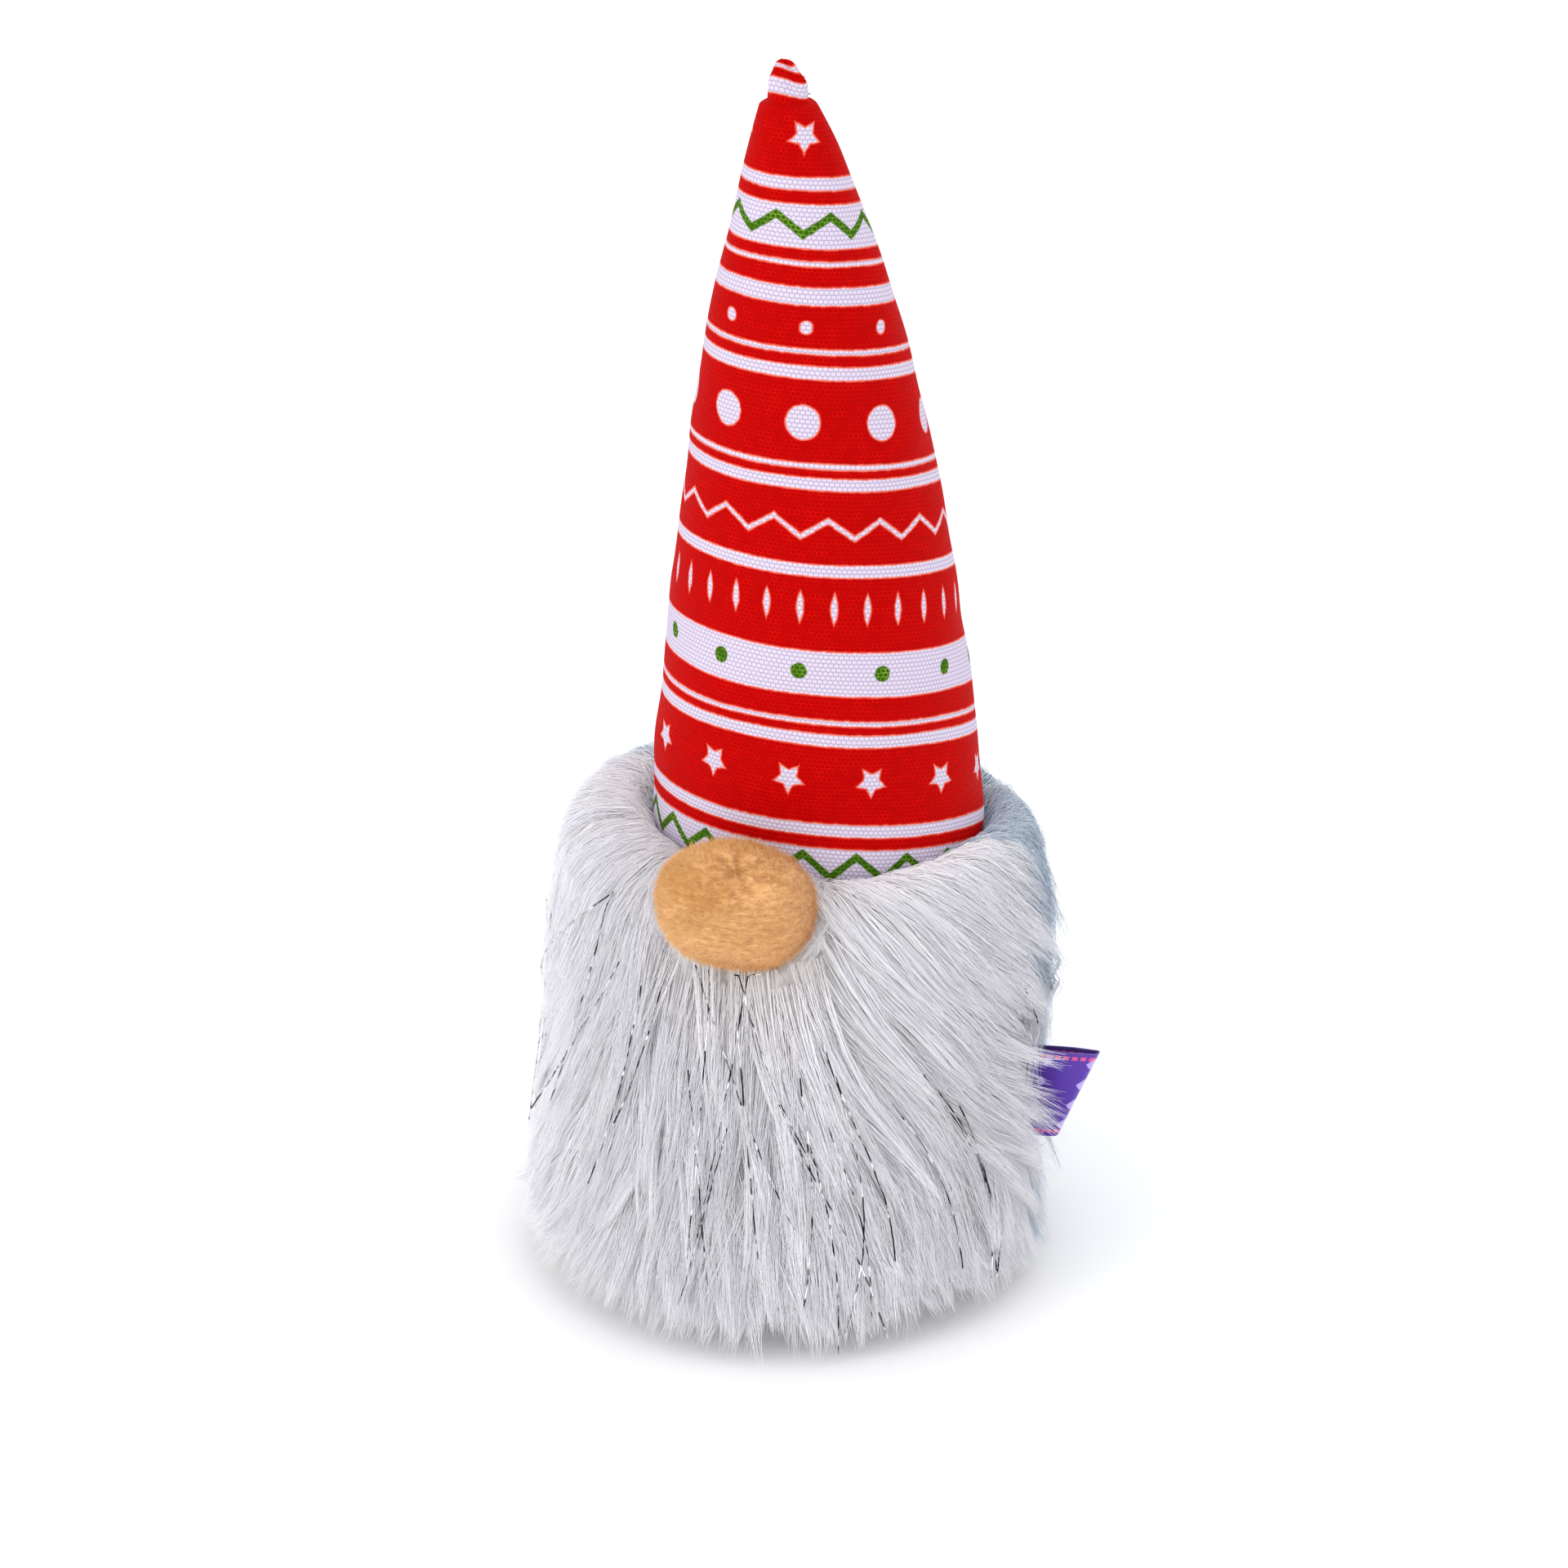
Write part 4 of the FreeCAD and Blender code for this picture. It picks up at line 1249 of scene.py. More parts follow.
class Nose:
    """The nose: a round of tan plush, drawn up over a ball of fibre."""

    def __init__(self, size: NoseSize) -> None:
        """Args: size: the nose's dimensions."""
        self.size = size

    def cover(self, finish: SoftCloth) -> bpy.types.Object:
        """Shape the ball with its gathered end and stuff it.

        Args:
            finish: the plush.

        Returns:
            The nose's cloth.
        """
        size = self.size
        pole = np.array(size.gathered) / np.linalg.norm(size.gathered)
        side = np.cross((0, 1.0, 0), pole)
        side /= np.linalg.norm(side)
        other = np.cross(pole, side)
        turn = np.linspace(0, 2 * math.pi, size.columns, endpoint=False)[None, :, None]
        fall = np.linspace(0.03, math.pi - 0.03, size.rows)[:, None, None]
        way = -pole * np.cos(fall) + (side * np.cos(turn) + other * np.sin(turn)) * np.sin(fall)
        half = np.array(size.half)
        reach = (np.abs(way / half) ** 2.3).sum(-1, keepdims=True) ** (-1 / 2.3)
        rings = way * reach
        angle = math.pi - fall[..., 0]
        spin = turn[..., 0]
        dent = -2.6 * np.exp(-((angle / 0.2) ** 2))
        folds = 0.5 + 0.5 * np.cos(7 * spin + 1.4 * np.sin(2 * spin))
        folds = -0.75 * folds * np.exp(-(((angle - 0.34) / 0.26) ** 2))
        lumps = 0.3 * smooth_noise(spin, angle * 15, 8, 5)
        rings = rings + ring_normals(rings) * (dent + folds + lumps)[..., None]
        rings = (rings + np.array(size.centre)) * MM
        self.fill = rings[1:-1:3, ::4] - 1.9 * MM * ring_normals(rings)[1:-1:3, ::4]
        obj = turned_shell("nose_plush_ball", rings)
        pinned = np.clip(1.4 - angle / 0.5, 0, 1) * np.ones_like(spin)
        inflate(obj, np.concatenate([pinned.ravel(), [0.0, 1.0]]), 4.0, 0.5 * MM)
        subdivide_once(obj)
        finish_piece(obj, "nose", finish.material(), ("nose_cover",))
        return obj

    def stuffing(self, fibre: bpy.types.Material) -> bpy.types.Object:
        """Fill the nose with fibre, a little inside its cloth.

        Args:
            fibre: the filling's finish.

        Returns:
            The filling.
        """
        obj = turned_shell("nose_fibre_fill", self.fill)
        finish_piece(obj, "nose", fibre, ("nose_stuffing",))
        return obj

    def fuzz(self, ball: bpy.types.Object) -> bpy.types.Object:
        """Raise the plush's short nap on the ball.

        Args:
            ball: the nose's finished cloth.

        Returns:
            The nap.
        """
        copy = bpy.data.objects.new("nap_ground", ball.data.copy())
        bpy.context.scene.collection.objects.link(copy)
        count = 6.5e6
        values = {
            "Density": count, "Fibre length": 2.0 * MM, "Fibre radius": 0.06 * MM, "Lift": 0.75, "Seed": 4,
            "Material": ball.data.materials[0],
        }
        obj = grow("nose_plush_nap", copy, fuzz_tree(), values)
        finish_piece(obj, "nose", ball.data.materials[0])
        return obj


# ---- the fur -----------------------------------------------------------------------------------
def from_front(turn: np.ndarray) -> np.ndarray:
    """Degrees from the gnome's front towards its left hand, for angles from +X in radians."""
    return np.degrees((turn + 1.5 * math.pi) % (2 * math.pi) - math.pi)


@dataclass(frozen=True)
class CoatSize:
    """The long-pile coat's outer shape and its hair, in millimetres and degrees."""

    collar: float = 40.0
    pocket: float = 43.4                            # the short wool starts here, clear of the hat
    top: tuple[float, float] = (117.0, 3.4)         # height of the shoulder, and how much it varies
    side: tuple[float, float] = (60.4, 3.2)         # radius below the shoulder
    foot: tuple[float, float] = (63.2, 9.8)         # radius at the floor
    drop: tuple[float, float] = (26.0, -11.0)       # height over which the shoulder rounds off
    heap: float = 4.5                               # how much higher the pile lies on the hat's right
    high_side: float = 203.0                        # where the shoulder is highest, from +X
    wide_foot: float = 210.0                        # where the foot is widest
    hair: float = 41.0                              # a hair's length
    spacing: float = 4.7                            # distance between locks
    depth: float = 6.2                              # how far below the outer shape the roots lie
    front: tuple = (42, 3.9, 0.083)                 # hairs in a lock, a lock's width and a hair's radius
    back: tuple = (27, 4.6, 0.106)
    shades: int = 24                                # columns of the hair map
    label: tuple = (43.3, 4.0, 6.4, 20.0)           # its root's X and Y, and the gap and angle kept free


class FurCoat:
    """The faux-fur coat: a front and a back panel of long acrylic pile on a knitted backing."""

    def __init__(self, size: CoatSize, nose: NoseSize) -> None:
        """Args: size: the coat's shape; nose: the nose that the pile parts round."""
        self.size = size
        self.nose = nose
        self.tree = fur_tree()

    def surface(self, turn: np.ndarray, share: np.ndarray) -> np.ndarray:
        """Places on the coat's outer shape.

        Args:
            turn: angles from +X, counter-clockwise from above, in radians.
            share: 0 at the hat to 1 at the floor, and less than 0 down between the hat and the coat.

        Returns:
            XYZ in millimetres.
        """
        size = self.size
        lean = np.cos(turn - math.radians(size.high_side))
        front = from_front(turn)
        heap = size.heap * np.exp(-(((front - 80) / 38) ** 2))
        top = size.top[0] + size.top[1] * lean + heap
        drop = size.drop[0] + size.drop[1] * lean + heap
        side = size.side[0] + size.side[1] * lean
        foot = size.foot[0] + size.foot[1] * np.cos(turn - math.radians(size.wide_foot))
        rise = np.sin(np.clip(share / 0.05, 0, 1) * math.pi / 2)
        bend = np.clip((share - 0.05) / 0.28, 0, 1) * math.pi / 2
        wall = (share - 0.33).clip(0) / 0.67
        shoulder = size.collar + 6
        radius = size.collar + 6 * np.clip(share / 0.05, 0, 1) + (side - shoulder) * np.sin(bend) ** 0.85
        radius = radius + (foot - side) * wall
        height = top - 5 * (1 - rise) + 100 * np.minimum(share, 0)
        height = height - drop * (1 - np.cos(bend)) - (top - drop) * wall
        return np.stack([radius * np.cos(turn), radius * np.sin(turn), height], axis=-1)

    def frame_at(self, turn: np.ndarray, share: np.ndarray) -> tuple[np.ndarray, np.ndarray, np.ndarray]:
        """Place, outward normal and length of one unit of share, on the coat's outer shape.

        Args:
            turn: angles from +X, in radians.
            share: places down the coat, as in surface.

        Returns:
            Places in millimetres, unit normals, and millimetres for each unit of share.
        """
        step = 1e-3
        place = self.surface(turn, share)
        down = (self.surface(turn, share + step) - place) / step
        around = (self.surface(turn + step, share) - place) / step
        normal = np.cross(down, around)
        normal /= np.linalg.norm(normal, axis=-1, keepdims=True)
        return place, normal, np.linalg.norm(down, axis=-1)

    def combing(self, turn: np.ndarray, share: np.ndarray) -> np.ndarray:
        """Which way the pile lies: an angle from straight down towards +turn, in radians.

        Args:
            turn: angles from +X, in radians.
            share: places down the coat.

        Returns:
            The angles.
        """
        front = from_front(turn)
        upper = 1 - smooth_step(share, 0.4, 0.95)
        right = 44 * smooth_step(front, 4, 40) * (1 - smooth_step(front, 90, 150))
        left = -14 * smooth_step(-front, 5, 40) * (1 - smooth_step(-front, 100, 160))
        flare = -16 * smooth_step(share, 0.5, 1.0) * smooth_step(-front, 10, 60)
        flare = flare * (1 - smooth_step(-front, 90, 150))
        return np.radians(right * upper + left + flare)

    def comb(self, turn: np.ndarray, share: np.ndarray, length: np.ndarray, sway: np.ndarray,
             points: int, depth: np.ndarray, lift: np.ndarray, low: np.ndarray | None = None,
             clear: bool = True) -> tuple[np.ndarray, np.ndarray]:
        """Lay strands over the coat, each from its root in the backing to its tip outside.

        Args:
            turn: the roots' angles.
            share: the roots' places down the coat.
            length: the strands' lengths, mm.
            sway: each strand's own turn from the combing, in radians.
            points: how many points a strand has.
            depth: how far inside the outer shape the roots are, mm.
            lift: how far outside it the tips are, mm.
            low: the lowest each strand may hang, mm; the coat's hem if left out.
            clear: whether the strands part round the side label.

        Returns:
            The strands' points in metres, and the outward normals there.
        """
        steps = 16
        turns, shares = [turn], [share]
        for _ in range(steps):
            place, _, unit = self.frame_at(turns[-1], shares[-1])
            lie = self.combing(turns[-1], shares[-1]) + sway
            radius = np.hypot(place[:, 0], place[:, 1])
            turns.append(turns[-1] + np.sin(lie) * length / steps / radius)
            shares.append(shares[-1] + np.cos(lie) * length / steps / unit)
        turns, shares = np.array(turns).T, np.array(shares).T
        stop = 1 - (self.hem(turn) if low is None else low) / 85
        past = np.argmax(shares >= stop[:, None], axis=1)
        ends = np.where((shares >= stop[:, None]).any(axis=1), np.maximum(past, 1), steps)
        depth = depth * (0.4 + 0.6 * ends / steps)
        where = ends[:, None] * np.linspace(0, 1, points)[None, :]
        first = np.minimum(where.astype(int), steps - 1)
        part = where - first
        rows = np.arange(len(turn))[:, None]
        at_turn = turns[rows, first] * (1 - part) + turns[rows, first + 1] * part
        at_share = shares[rows, first] * (1 - part) + shares[rows, first + 1] * part
        place, normal, _ = self.frame_at(at_turn, np.minimum(at_share, 1.0))
        along = np.linspace(0, 1, points)[None, :]
        offset = -depth[:, None] * (1 - along) ** 1.5 + lift[:, None] * along ** 2
        place = self.clear_of_nose(place + normal * offset[..., None], 2.8)
        if clear:
            place = self.clear_of_label(place, turn)
        radial = np.hypot(place[..., 0], place[..., 1])
        inside = np.maximum(self.size.collar + 0.2, radial) / radial
        place[..., :2] *= inside[..., None]
        place[..., 2] = np.maximum(place[..., 2], 0.6)
        return place * MM, normal

    def hem(self, turn: np.ndarray) -> np.ndarray:
        """Height of the pile's lower edge, in millimetres, with spikes and a raised part.

        Args:
            turn: angles from +X, in radians.

        Returns:
            The heights.
        """
        rng = np.random.default_rng(31)
        front = from_front(turn)
        raised = 4 * np.exp(-(((front + 60) / 30) ** 2)) + 4 * np.exp(-(((front - 56) / 24) ** 2))
        return 1.0 + rng.gamma(2.0, 1.8, turn.shape).clip(0, 12) + raised

    def clear_of_nose(self, place: np.ndarray, gap: float) -> np.ndarray:
        """Push places out of the nose, with a gap in millimetres.

        Args:
            place: places in millimetres.
            gap: the room to leave.

        Returns:
            The places, moved where needed.
        """
        half = np.array(self.nose.half) + gap
        away = (place - np.array(self.nose.centre)) / half
        reach = np.linalg.norm(away, axis=-1, keepdims=True)
        out = np.array(self.nose.centre) + away / np.maximum(reach, 1e-6) * half
        return np.where(reach < 1, out, place)

    def clear_of_label(self, place: np.ndarray, turn: np.ndarray) -> np.ndarray:
        """Part strands round the side label, with room for it to flap.

        Args:
            place: places in millimetres; changed in place.
            turn: the strands' own angles.

        Returns:
            The places.
        """
        root_x, root_y, room, flap = self.size.label
        height = place[..., 2]
        beside = smooth_step(height, 29, 36) * (1 - smooth_step(height, 61, 69)) * (place[..., 0] > 20)
        gap = beside * (room + (place[..., 0] - root_x).clip(0) * math.tan(math.radians(flap)))
        forward = (np.sin(turn - math.atan2(root_y, 55)) < 0)[:, None]
        side = place[..., 1] - root_y
        moved = np.where(forward, np.minimum(side, -gap), np.maximum(side, gap))
        place[..., 1] = np.where(beside > 0, moved, side) + root_y
        return place

    def roots(self, spacing: float, seed: int) -> tuple[np.ndarray, np.ndarray]:
        """Spread roots evenly over the coat.

        Args:
            spacing: distance between roots, mm.
            seed: fixes the spread.

        Returns:
            Angles and shares.
        """
        rng = np.random.default_rng(seed)
        turns, shares = [], []
        for row in np.arange(-0.07, 0.9, spacing / 128):
            count = int(2 * math.pi * (50 + 10 * min(row / 0.3, 1)) / spacing)
            turn = np.arange(count) + rng.uniform(-0.45, 0.45, count) + rng.uniform()
            turns.append(turn * 2 * math.pi / count)
            shares.append(row + rng.uniform(-0.5, 0.5, count) * spacing / 128)
        turn, share = np.concatenate(turns) % (2 * math.pi), np.concatenate(shares)
        place = self.surface(turn, share)
        away = (place - np.array(self.nose.centre)) / (np.array(self.nose.half) + 1.5)
        keep = (np.linalg.norm(away, axis=1) > 1) | (place[:, 1] > 0)
        return turn[keep], share[keep]

    def undercoat(self, finish: SoftCloth) -> bpy.types.Object:
        """Make the dense short wool beneath the long hair, as one closed ring.

        Args:
            finish: the wool.

        Returns:
            The ring.
        """
        columns = 220
        turn = np.linspace(0, 2 * math.pi, columns, endpoint=False)
        share = np.linspace(1.0, 0.0, 90)
        shares, turns = np.meshgrid(share, turn, indexing="ij")
        place, normal, _ = self.frame_at(turns, shares)
        ridge = np.cos(41 * turns + 6 * np.sin(shares * 7)) + smooth_noise(turns * 5, shares * 90, 9, 3)
        thin = 20 * smooth_step(shares, 0.64, 1.0)
        place = place + normal * (-6.6 - thin + 0.9 * ridge)[..., None]
        nose = self.nose
        half = np.array(nose.half) + 5.4
        away = (place - np.array(nose.centre)) / half
        flat = 1 - away[..., 0] ** 2 - away[..., 2] ** 2
        back = nose.centre[1] + half[1] * np.sqrt(np.clip(flat, 0, None))
        depth = place[..., 1]
        place[..., 1] = np.where((flat > 0) & (depth < back) & (depth < 0), back, depth)
        radial = np.hypot(place[..., 0], place[..., 1])
        wide = np.maximum(radial, self.size.pocket + 0.5)
        place[..., :2] *= (wide / radial)[..., None]
        place[..., 2] = np.maximum(place[..., 2], 2.2)
        inner = self.size.pocket
        hub = np.stack([inner * np.cos(turn), inner * np.sin(turn), 0 * turn], -1)
        loops = [place]
        for level in np.linspace(0, 1, 12):
            ring = hub.copy()
            ring[:, 2] = place[-1, :, 2] * (1 - level) + 2.0 * level - (1.0 if 0 < level < 1 else 0.0)
            loops.append(ring[None])
        rings = np.concatenate(loops)
        rows = len(rings)
        faces = wall_faces(rows, columns, True)
        last = (rows - 1) * columns
        faces += [(last + c, last + (c + 1) % columns, (c + 1) % columns, c) for c in range(columns)]
        obj = mesh_object("fur_undercoat", rings.reshape(-1, 3) * MM, faces)
        finish_piece(obj, "gnome_body", finish.material(), ("front_fur_pile", "back_fur_pile"))
        return obj

    def locks(self, pile: AcrylicPile, back_pile: AcrylicPile) -> list[bpy.types.Object]:
        """Grow the long hair in locks, as pieces that each cover a slice of one panel.

        Args:
            pile: the front panel's hair.
            back_pile: the back panel's hair, painted in the blue-grey of the white fur's shade.

        Returns:
            The pieces.
        """
        spacing = self.size.spacing * 1.0
        finishes = (pile.material(), back_pile.material())
        pieces = []
        for panel, gap, seed in (("front", spacing, 8), ("back", spacing * 1.2, 9)):
            turn, share = self.roots(gap, seed)
            turn = (turn + 1.5 * math.pi) % (2 * math.pi) - 1.5 * math.pi if panel == "front" else turn
            place = self.surface(turn, share)
            seam = 3.7 - 16 * (1 - smooth_step(share, 0.18, 0.5)) * (place[:, 0] > 0)
            chosen = (place[:, 1] < seam) == (panel == "front")
            turn, share = turn[chosen], share[chosen]
            rng = np.random.default_rng(seed + 4)
            count = len(turn)
            clump = smooth_noise(turn * 3, share * 120, 12, 21)
            sway = np.radians(8 * clump + rng.normal(0, 1, count) * (4.5 + 6 * share.clip(0)))
            length = self.size.hair * rng.uniform(0.8, 1.15, count)
            ruff = share < 0.045
            inner = smooth_step(share, 0.0, 0.2)
            depth = (1.6 + (self.size.depth - 1.6) * inner) * rng.uniform(0.8, 1.1, count)
            lift = rng.gamma(2.0, 0.9, count) * (0.35 + 0.65 * inner) + 1.4 * smooth_step(share, 0.55, 0.8)
            length[ruff] *= 0.8
            lines, out = self.comb(turn, share, length, sway, 5, depth, lift)
            # the locks lie softly under the hat and part into points towards the hem
            zones = [("ruff", ruff, 1), ("upper", ~ruff & (share < 0.42), 3), ("lower", share >= 0.42, 3)]
            for zone, mask, slices in zones:
                inside = np.flatnonzero(mask)
                inside = inside[np.argsort(turn[inside])]
                for number, part in enumerate(np.array_split(inside, slices)):
                    name = f"fur_{panel}_{zone}_{number + 1}"
                    # the hair against the hat goes with it when it leans
                    bend = () if zone == "lower" else ("hat", (0, 0, 0.104), (0, 0, 0.121))
                    finish, pointed = finishes[panel == "back"], zone == "lower"
                    pieces.append(self.bundle(name, lines[part], out[part], finish, panel, pointed, bend))
        return pieces + self.side_wisps(finishes[0])

    def bundle(self, name: str, lines: np.ndarray, out: np.ndarray, material: bpy.types.Material, panel: str,
               pointed: bool, bend: tuple) -> bpy.types.Object:
        """Grow a piece of hair on its guides.

        Args:
            name: the piece's name.
            lines: the guides' points.
            out: the outward directions there.
            material: the hair's finish.
            panel: "front" or "back".
            pointed: whether the locks draw together into points.
            bend: the body the hair turns towards, and where that starts and ends; empty for none.

        Returns:
            The piece.
        """
        hairs, width, radius = self.size.front if panel == "front" else self.size.back
        values = {
            "Hairs per lock": hairs, "Lock width": width * MM, "Hair radius": radius * MM, "Shortest": 0.62,
            "Gather": 0.84 if pointed else 0.62, "Stray": (6.5 if pointed else 7.0) * MM,
            "Shade columns": self.size.shades, "Seed": len(lines) + len(name), "Material": material,
        }
        obj = grow(name, guide_object("guides", lines, out), self.tree, values)
        finish_piece(obj, "gnome_body", material, bend=bend)
        return obj

    def side_wisps(self, material: bpy.types.Material) -> list[bpy.types.Object]:
        """Grow the loose wisps that fly out in front of the label, and the tuft below it.

        Args:
            material: the front panel's hair.

        Returns:
            The two pieces.
        """
        rng = np.random.default_rng(63)
        pieces = []
        sets = (
            ("fur_label_wisps", 22, (-37, -20), (0.34, 0.6), (48, 68), (26, 36), (6, 11), 5.0),
            ("fur_side_tuft", 16, (-26, -6), (0.56, 0.7), (6, 26), (30, 40), (3, 8), 9.0),
        )
        for name, count, turns, shares, lies, lengths, lifts, low in sets:
            turn = np.radians(rng.uniform(*turns, count))
            share = rng.uniform(*shares, count)
            sway = np.radians(rng.uniform(*lies, count)) - self.combing(turn, share)
            length, lift = rng.uniform(*lengths, count), rng.uniform(*lifts, count)
            depth, lowest = np.full(count, 3.0), rng.uniform(low, low + 8, count)
            lines, out = self.comb(turn, share, length, sway, 6, depth, lift, lowest, False)
            # the label brushes against these hairs and takes them along
            bend = ("label", (0.046, -0.016, 0.05), (0.056, -0.002, 0.05))
            pieces.append(self.bundle(name, lines, out, material, "front", True, bend))
        return pieces

    def tinsel(self, film: TinselFilm) -> bpy.types.Object:
        """Scatter strips of metallised film through the beard.

        Args:
            film: the strips' finish.

        Returns:
            The strips.
        """
        rng = np.random.default_rng(77)
        count = 34
        front = np.concatenate([rng.normal(6, 19, 20), rng.normal(-58, 12, 9), rng.normal(58, 14, 5)])
        turn = np.radians(front - 90)
        share = [rng.uniform(0.2, 0.58, 20), rng.uniform(0.36, 0.7, 9), rng.uniform(0.3, 0.6, 5)]
        share = np.concatenate(share)
        length = rng.uniform(38, 78, count)
        fan = np.radians(np.clip(front, -30, 30) * 0.5)
        sway = fan + rng.normal(0, 0.16, count) - 0.5 * self.combing(turn, share)
        depth, lift = rng.uniform(-2.0, -0.2, count), rng.uniform(2.0, 3.6, count)
        lines, out = self.comb(turn, share, length, sway, 14, depth, lift)
        guides = guide_object("tinsel_lines", lines, out)
        material = film.material()
        values = {
            "Strip width": 0.36 * MM, "Film": 0.06 * MM, "Twist per metre": 160.0, "Kink": 0.5 * MM,
            "Step": 1.3 * MM, "Seed": 6, "Material": material,
        }
        obj = grow("tinsel_film_strips", guides, tinsel_tree(), values)
        finish_piece(obj, "gnome_body", material, ("tinsel_strands",))
        return obj


# ---- the label ---------------------------------------------------------------------------------
@dataclass(frozen=True)
class LabelSize:
    """The folded ribbon label, in millimetres."""

    width: float = 23.5
    rise: float = 6.0           # degrees by which its edges rise outwards
    skew: float = 28.0          # degrees by which the fold is off square
    corner: tuple[float, float, float] = (72.0, 4.0, 62.0)      # upper end of the fold
    seam: float = 43.3          # X of the side seam
    thick: float = 0.34
    open: float = 1.5           # half the gap between the two layers


class Label:
    """The side label: a ribbon folded in two, with both ends sewn into the side seam."""

    def __init__(self, size: LabelSize) -> None:
        """Args: size: the label's dimensions."""
        self.size = size

    def build(self, finish: WovenRibbon) -> bpy.types.Object:
        """Fold the ribbon and cut its ends to the seam.

        Args:
            finish: the ribbon.

        Returns:
            The label.
        """
        size = self.size
        angle = math.radians(size.rise)
        out_way = np.array([math.cos(angle), 0.0, math.sin(angle)])
        down_way = np.array([math.sin(angle), 0.0, -math.cos(angle)])
        reach = (size.corner[0] - size.seam) / math.cos(angle)
        share = np.linspace(0, 1, 26)
        fold = size.open * 0.72
        gap = 0.3 + (size.open - 0.3) * smooth_step(share, 0.05, 0.8)
        gap = gap - (size.open - fold) * smooth_step(share, 0.8, 1.0)
        bend = np.linspace(-math.pi / 2, math.pi / 2, 9)[1:-1]
        along = np.concatenate([share - 1, fold * np.cos(bend) / reach, share[::-1] - 1])
        aside = np.concatenate([-gap, fold * np.sin(bend), gap[::-1]])
        step = np.hypot(np.diff(along * reach), np.diff(aside))
        length = np.concatenate([[0], np.cumsum(step)])
        across = np.linspace(0, size.width, 19)
        tangent = np.stack([np.gradient(along * reach), np.gradient(aside)], -1)
        tangent /= np.linalg.norm(tangent, axis=1, keepdims=True)
        normal = np.stack([tangent[:, 1], -tangent[:, 0]], -1)
        sheets = []
        for half in (0.5, -0.5):
            # the fold leans in from square, and both ends are cut along the seam
            edge = down_way - math.tan(math.radians(size.skew)) * out_way
            corner = np.array(size.corner) + across[None, :, None] * edge
            run = (corner[..., 0] - size.seam) / math.cos(angle)
            shift = along[:, None] * np.where(along[:, None] < 0, run, reach)
            shift = shift + (normal[:, 0] * size.thick * half)[:, None]
            side = (aside + normal[:, 1] * size.thick * half)[:, None]
            curl = 0.5 * np.sin(across[None, :] / size.width * math.pi) * (1 + along[:, None]) ** 2
            sheet = corner + (shift - fold)[..., None] * out_way
            sheets.append(sheet + np.array([0, 1.0, 0]) * (side - curl)[..., None])
        rows, columns = len(along), len(across)
        points = np.concatenate([s.reshape(-1, 3) for s in sheets]) * MM
        outer = wall_faces(rows, columns, False)
        second = rows * columns
        faces = [tuple(reversed(f)) for f in outer] + [tuple(i + second for i in f) for f in outer]
        rim = [r * columns for r in range(rows)] + [(rows - 1) * columns + c for c in range(1, columns)]
        rim += [r * columns + columns - 1 for r in range(rows - 2, -1, -1)] + list(range(columns - 2, 0, -1))
        faces += [(a, b, b + second, a + second) for a, b in zip(rim, rim[1:] + rim[:1])]
        flat = np.stack(np.broadcast_arrays(length[:, None], across[None, :]), -1).reshape(-1, 2) * MM
        flat = np.vstack([flat, flat])
        obj = mesh_object("side_label", points, faces, ("ribbon", flat[[i for f in faces for i in f]]))
        finish_piece(obj, "label", finish.material(), ("label_ribbon",))
        return obj


# ---- underneath and inside ---------------------------------------------------------------------
class Underside:
    """The round cloth under the gnome, sewn to the lower edge of the body."""

    def build(self, finish: SoftCloth) -> bpy.types.Object:
        """Cut the round and draw its edge up with small puckers.

        Args:
            finish: the cloth.

        Returns:
            The underside.
        """
        low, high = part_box("base_panel")
        radius, thick = high.x, high.z - low.z
        turn = np.linspace(0, 2 * math.pi, 160, endpoint=False)
        pucker = np.cos(turn * 53)
        rings = []
        for share, height in (
            (0.3, 0.05), (0.7, 0.05), (0.9, 0.0), (0.965, 0.06), (0.99, 0.35), (1.0, 0.65), (0.985, 0.95),
            (0.9, 1.0), (0.5, 1.0),
        ):
            drawn = max(0.0, share - 0.88) / 0.12
            reach = radius * share * (1 - 0.006 * drawn * (1 + pucker))
            level = thick * (height + 0.16 * drawn * pucker * (height < 0.9))
            level = low.z + np.maximum(level, 0)
            rings.append(np.stack([reach * np.cos(turn), reach * np.sin(turn), level], -1))
        obj = turned_shell("underside_cloth", np.array(rings))
        finish_piece(obj, "gnome_body", finish.material(), ("base_panel",))
        return obj


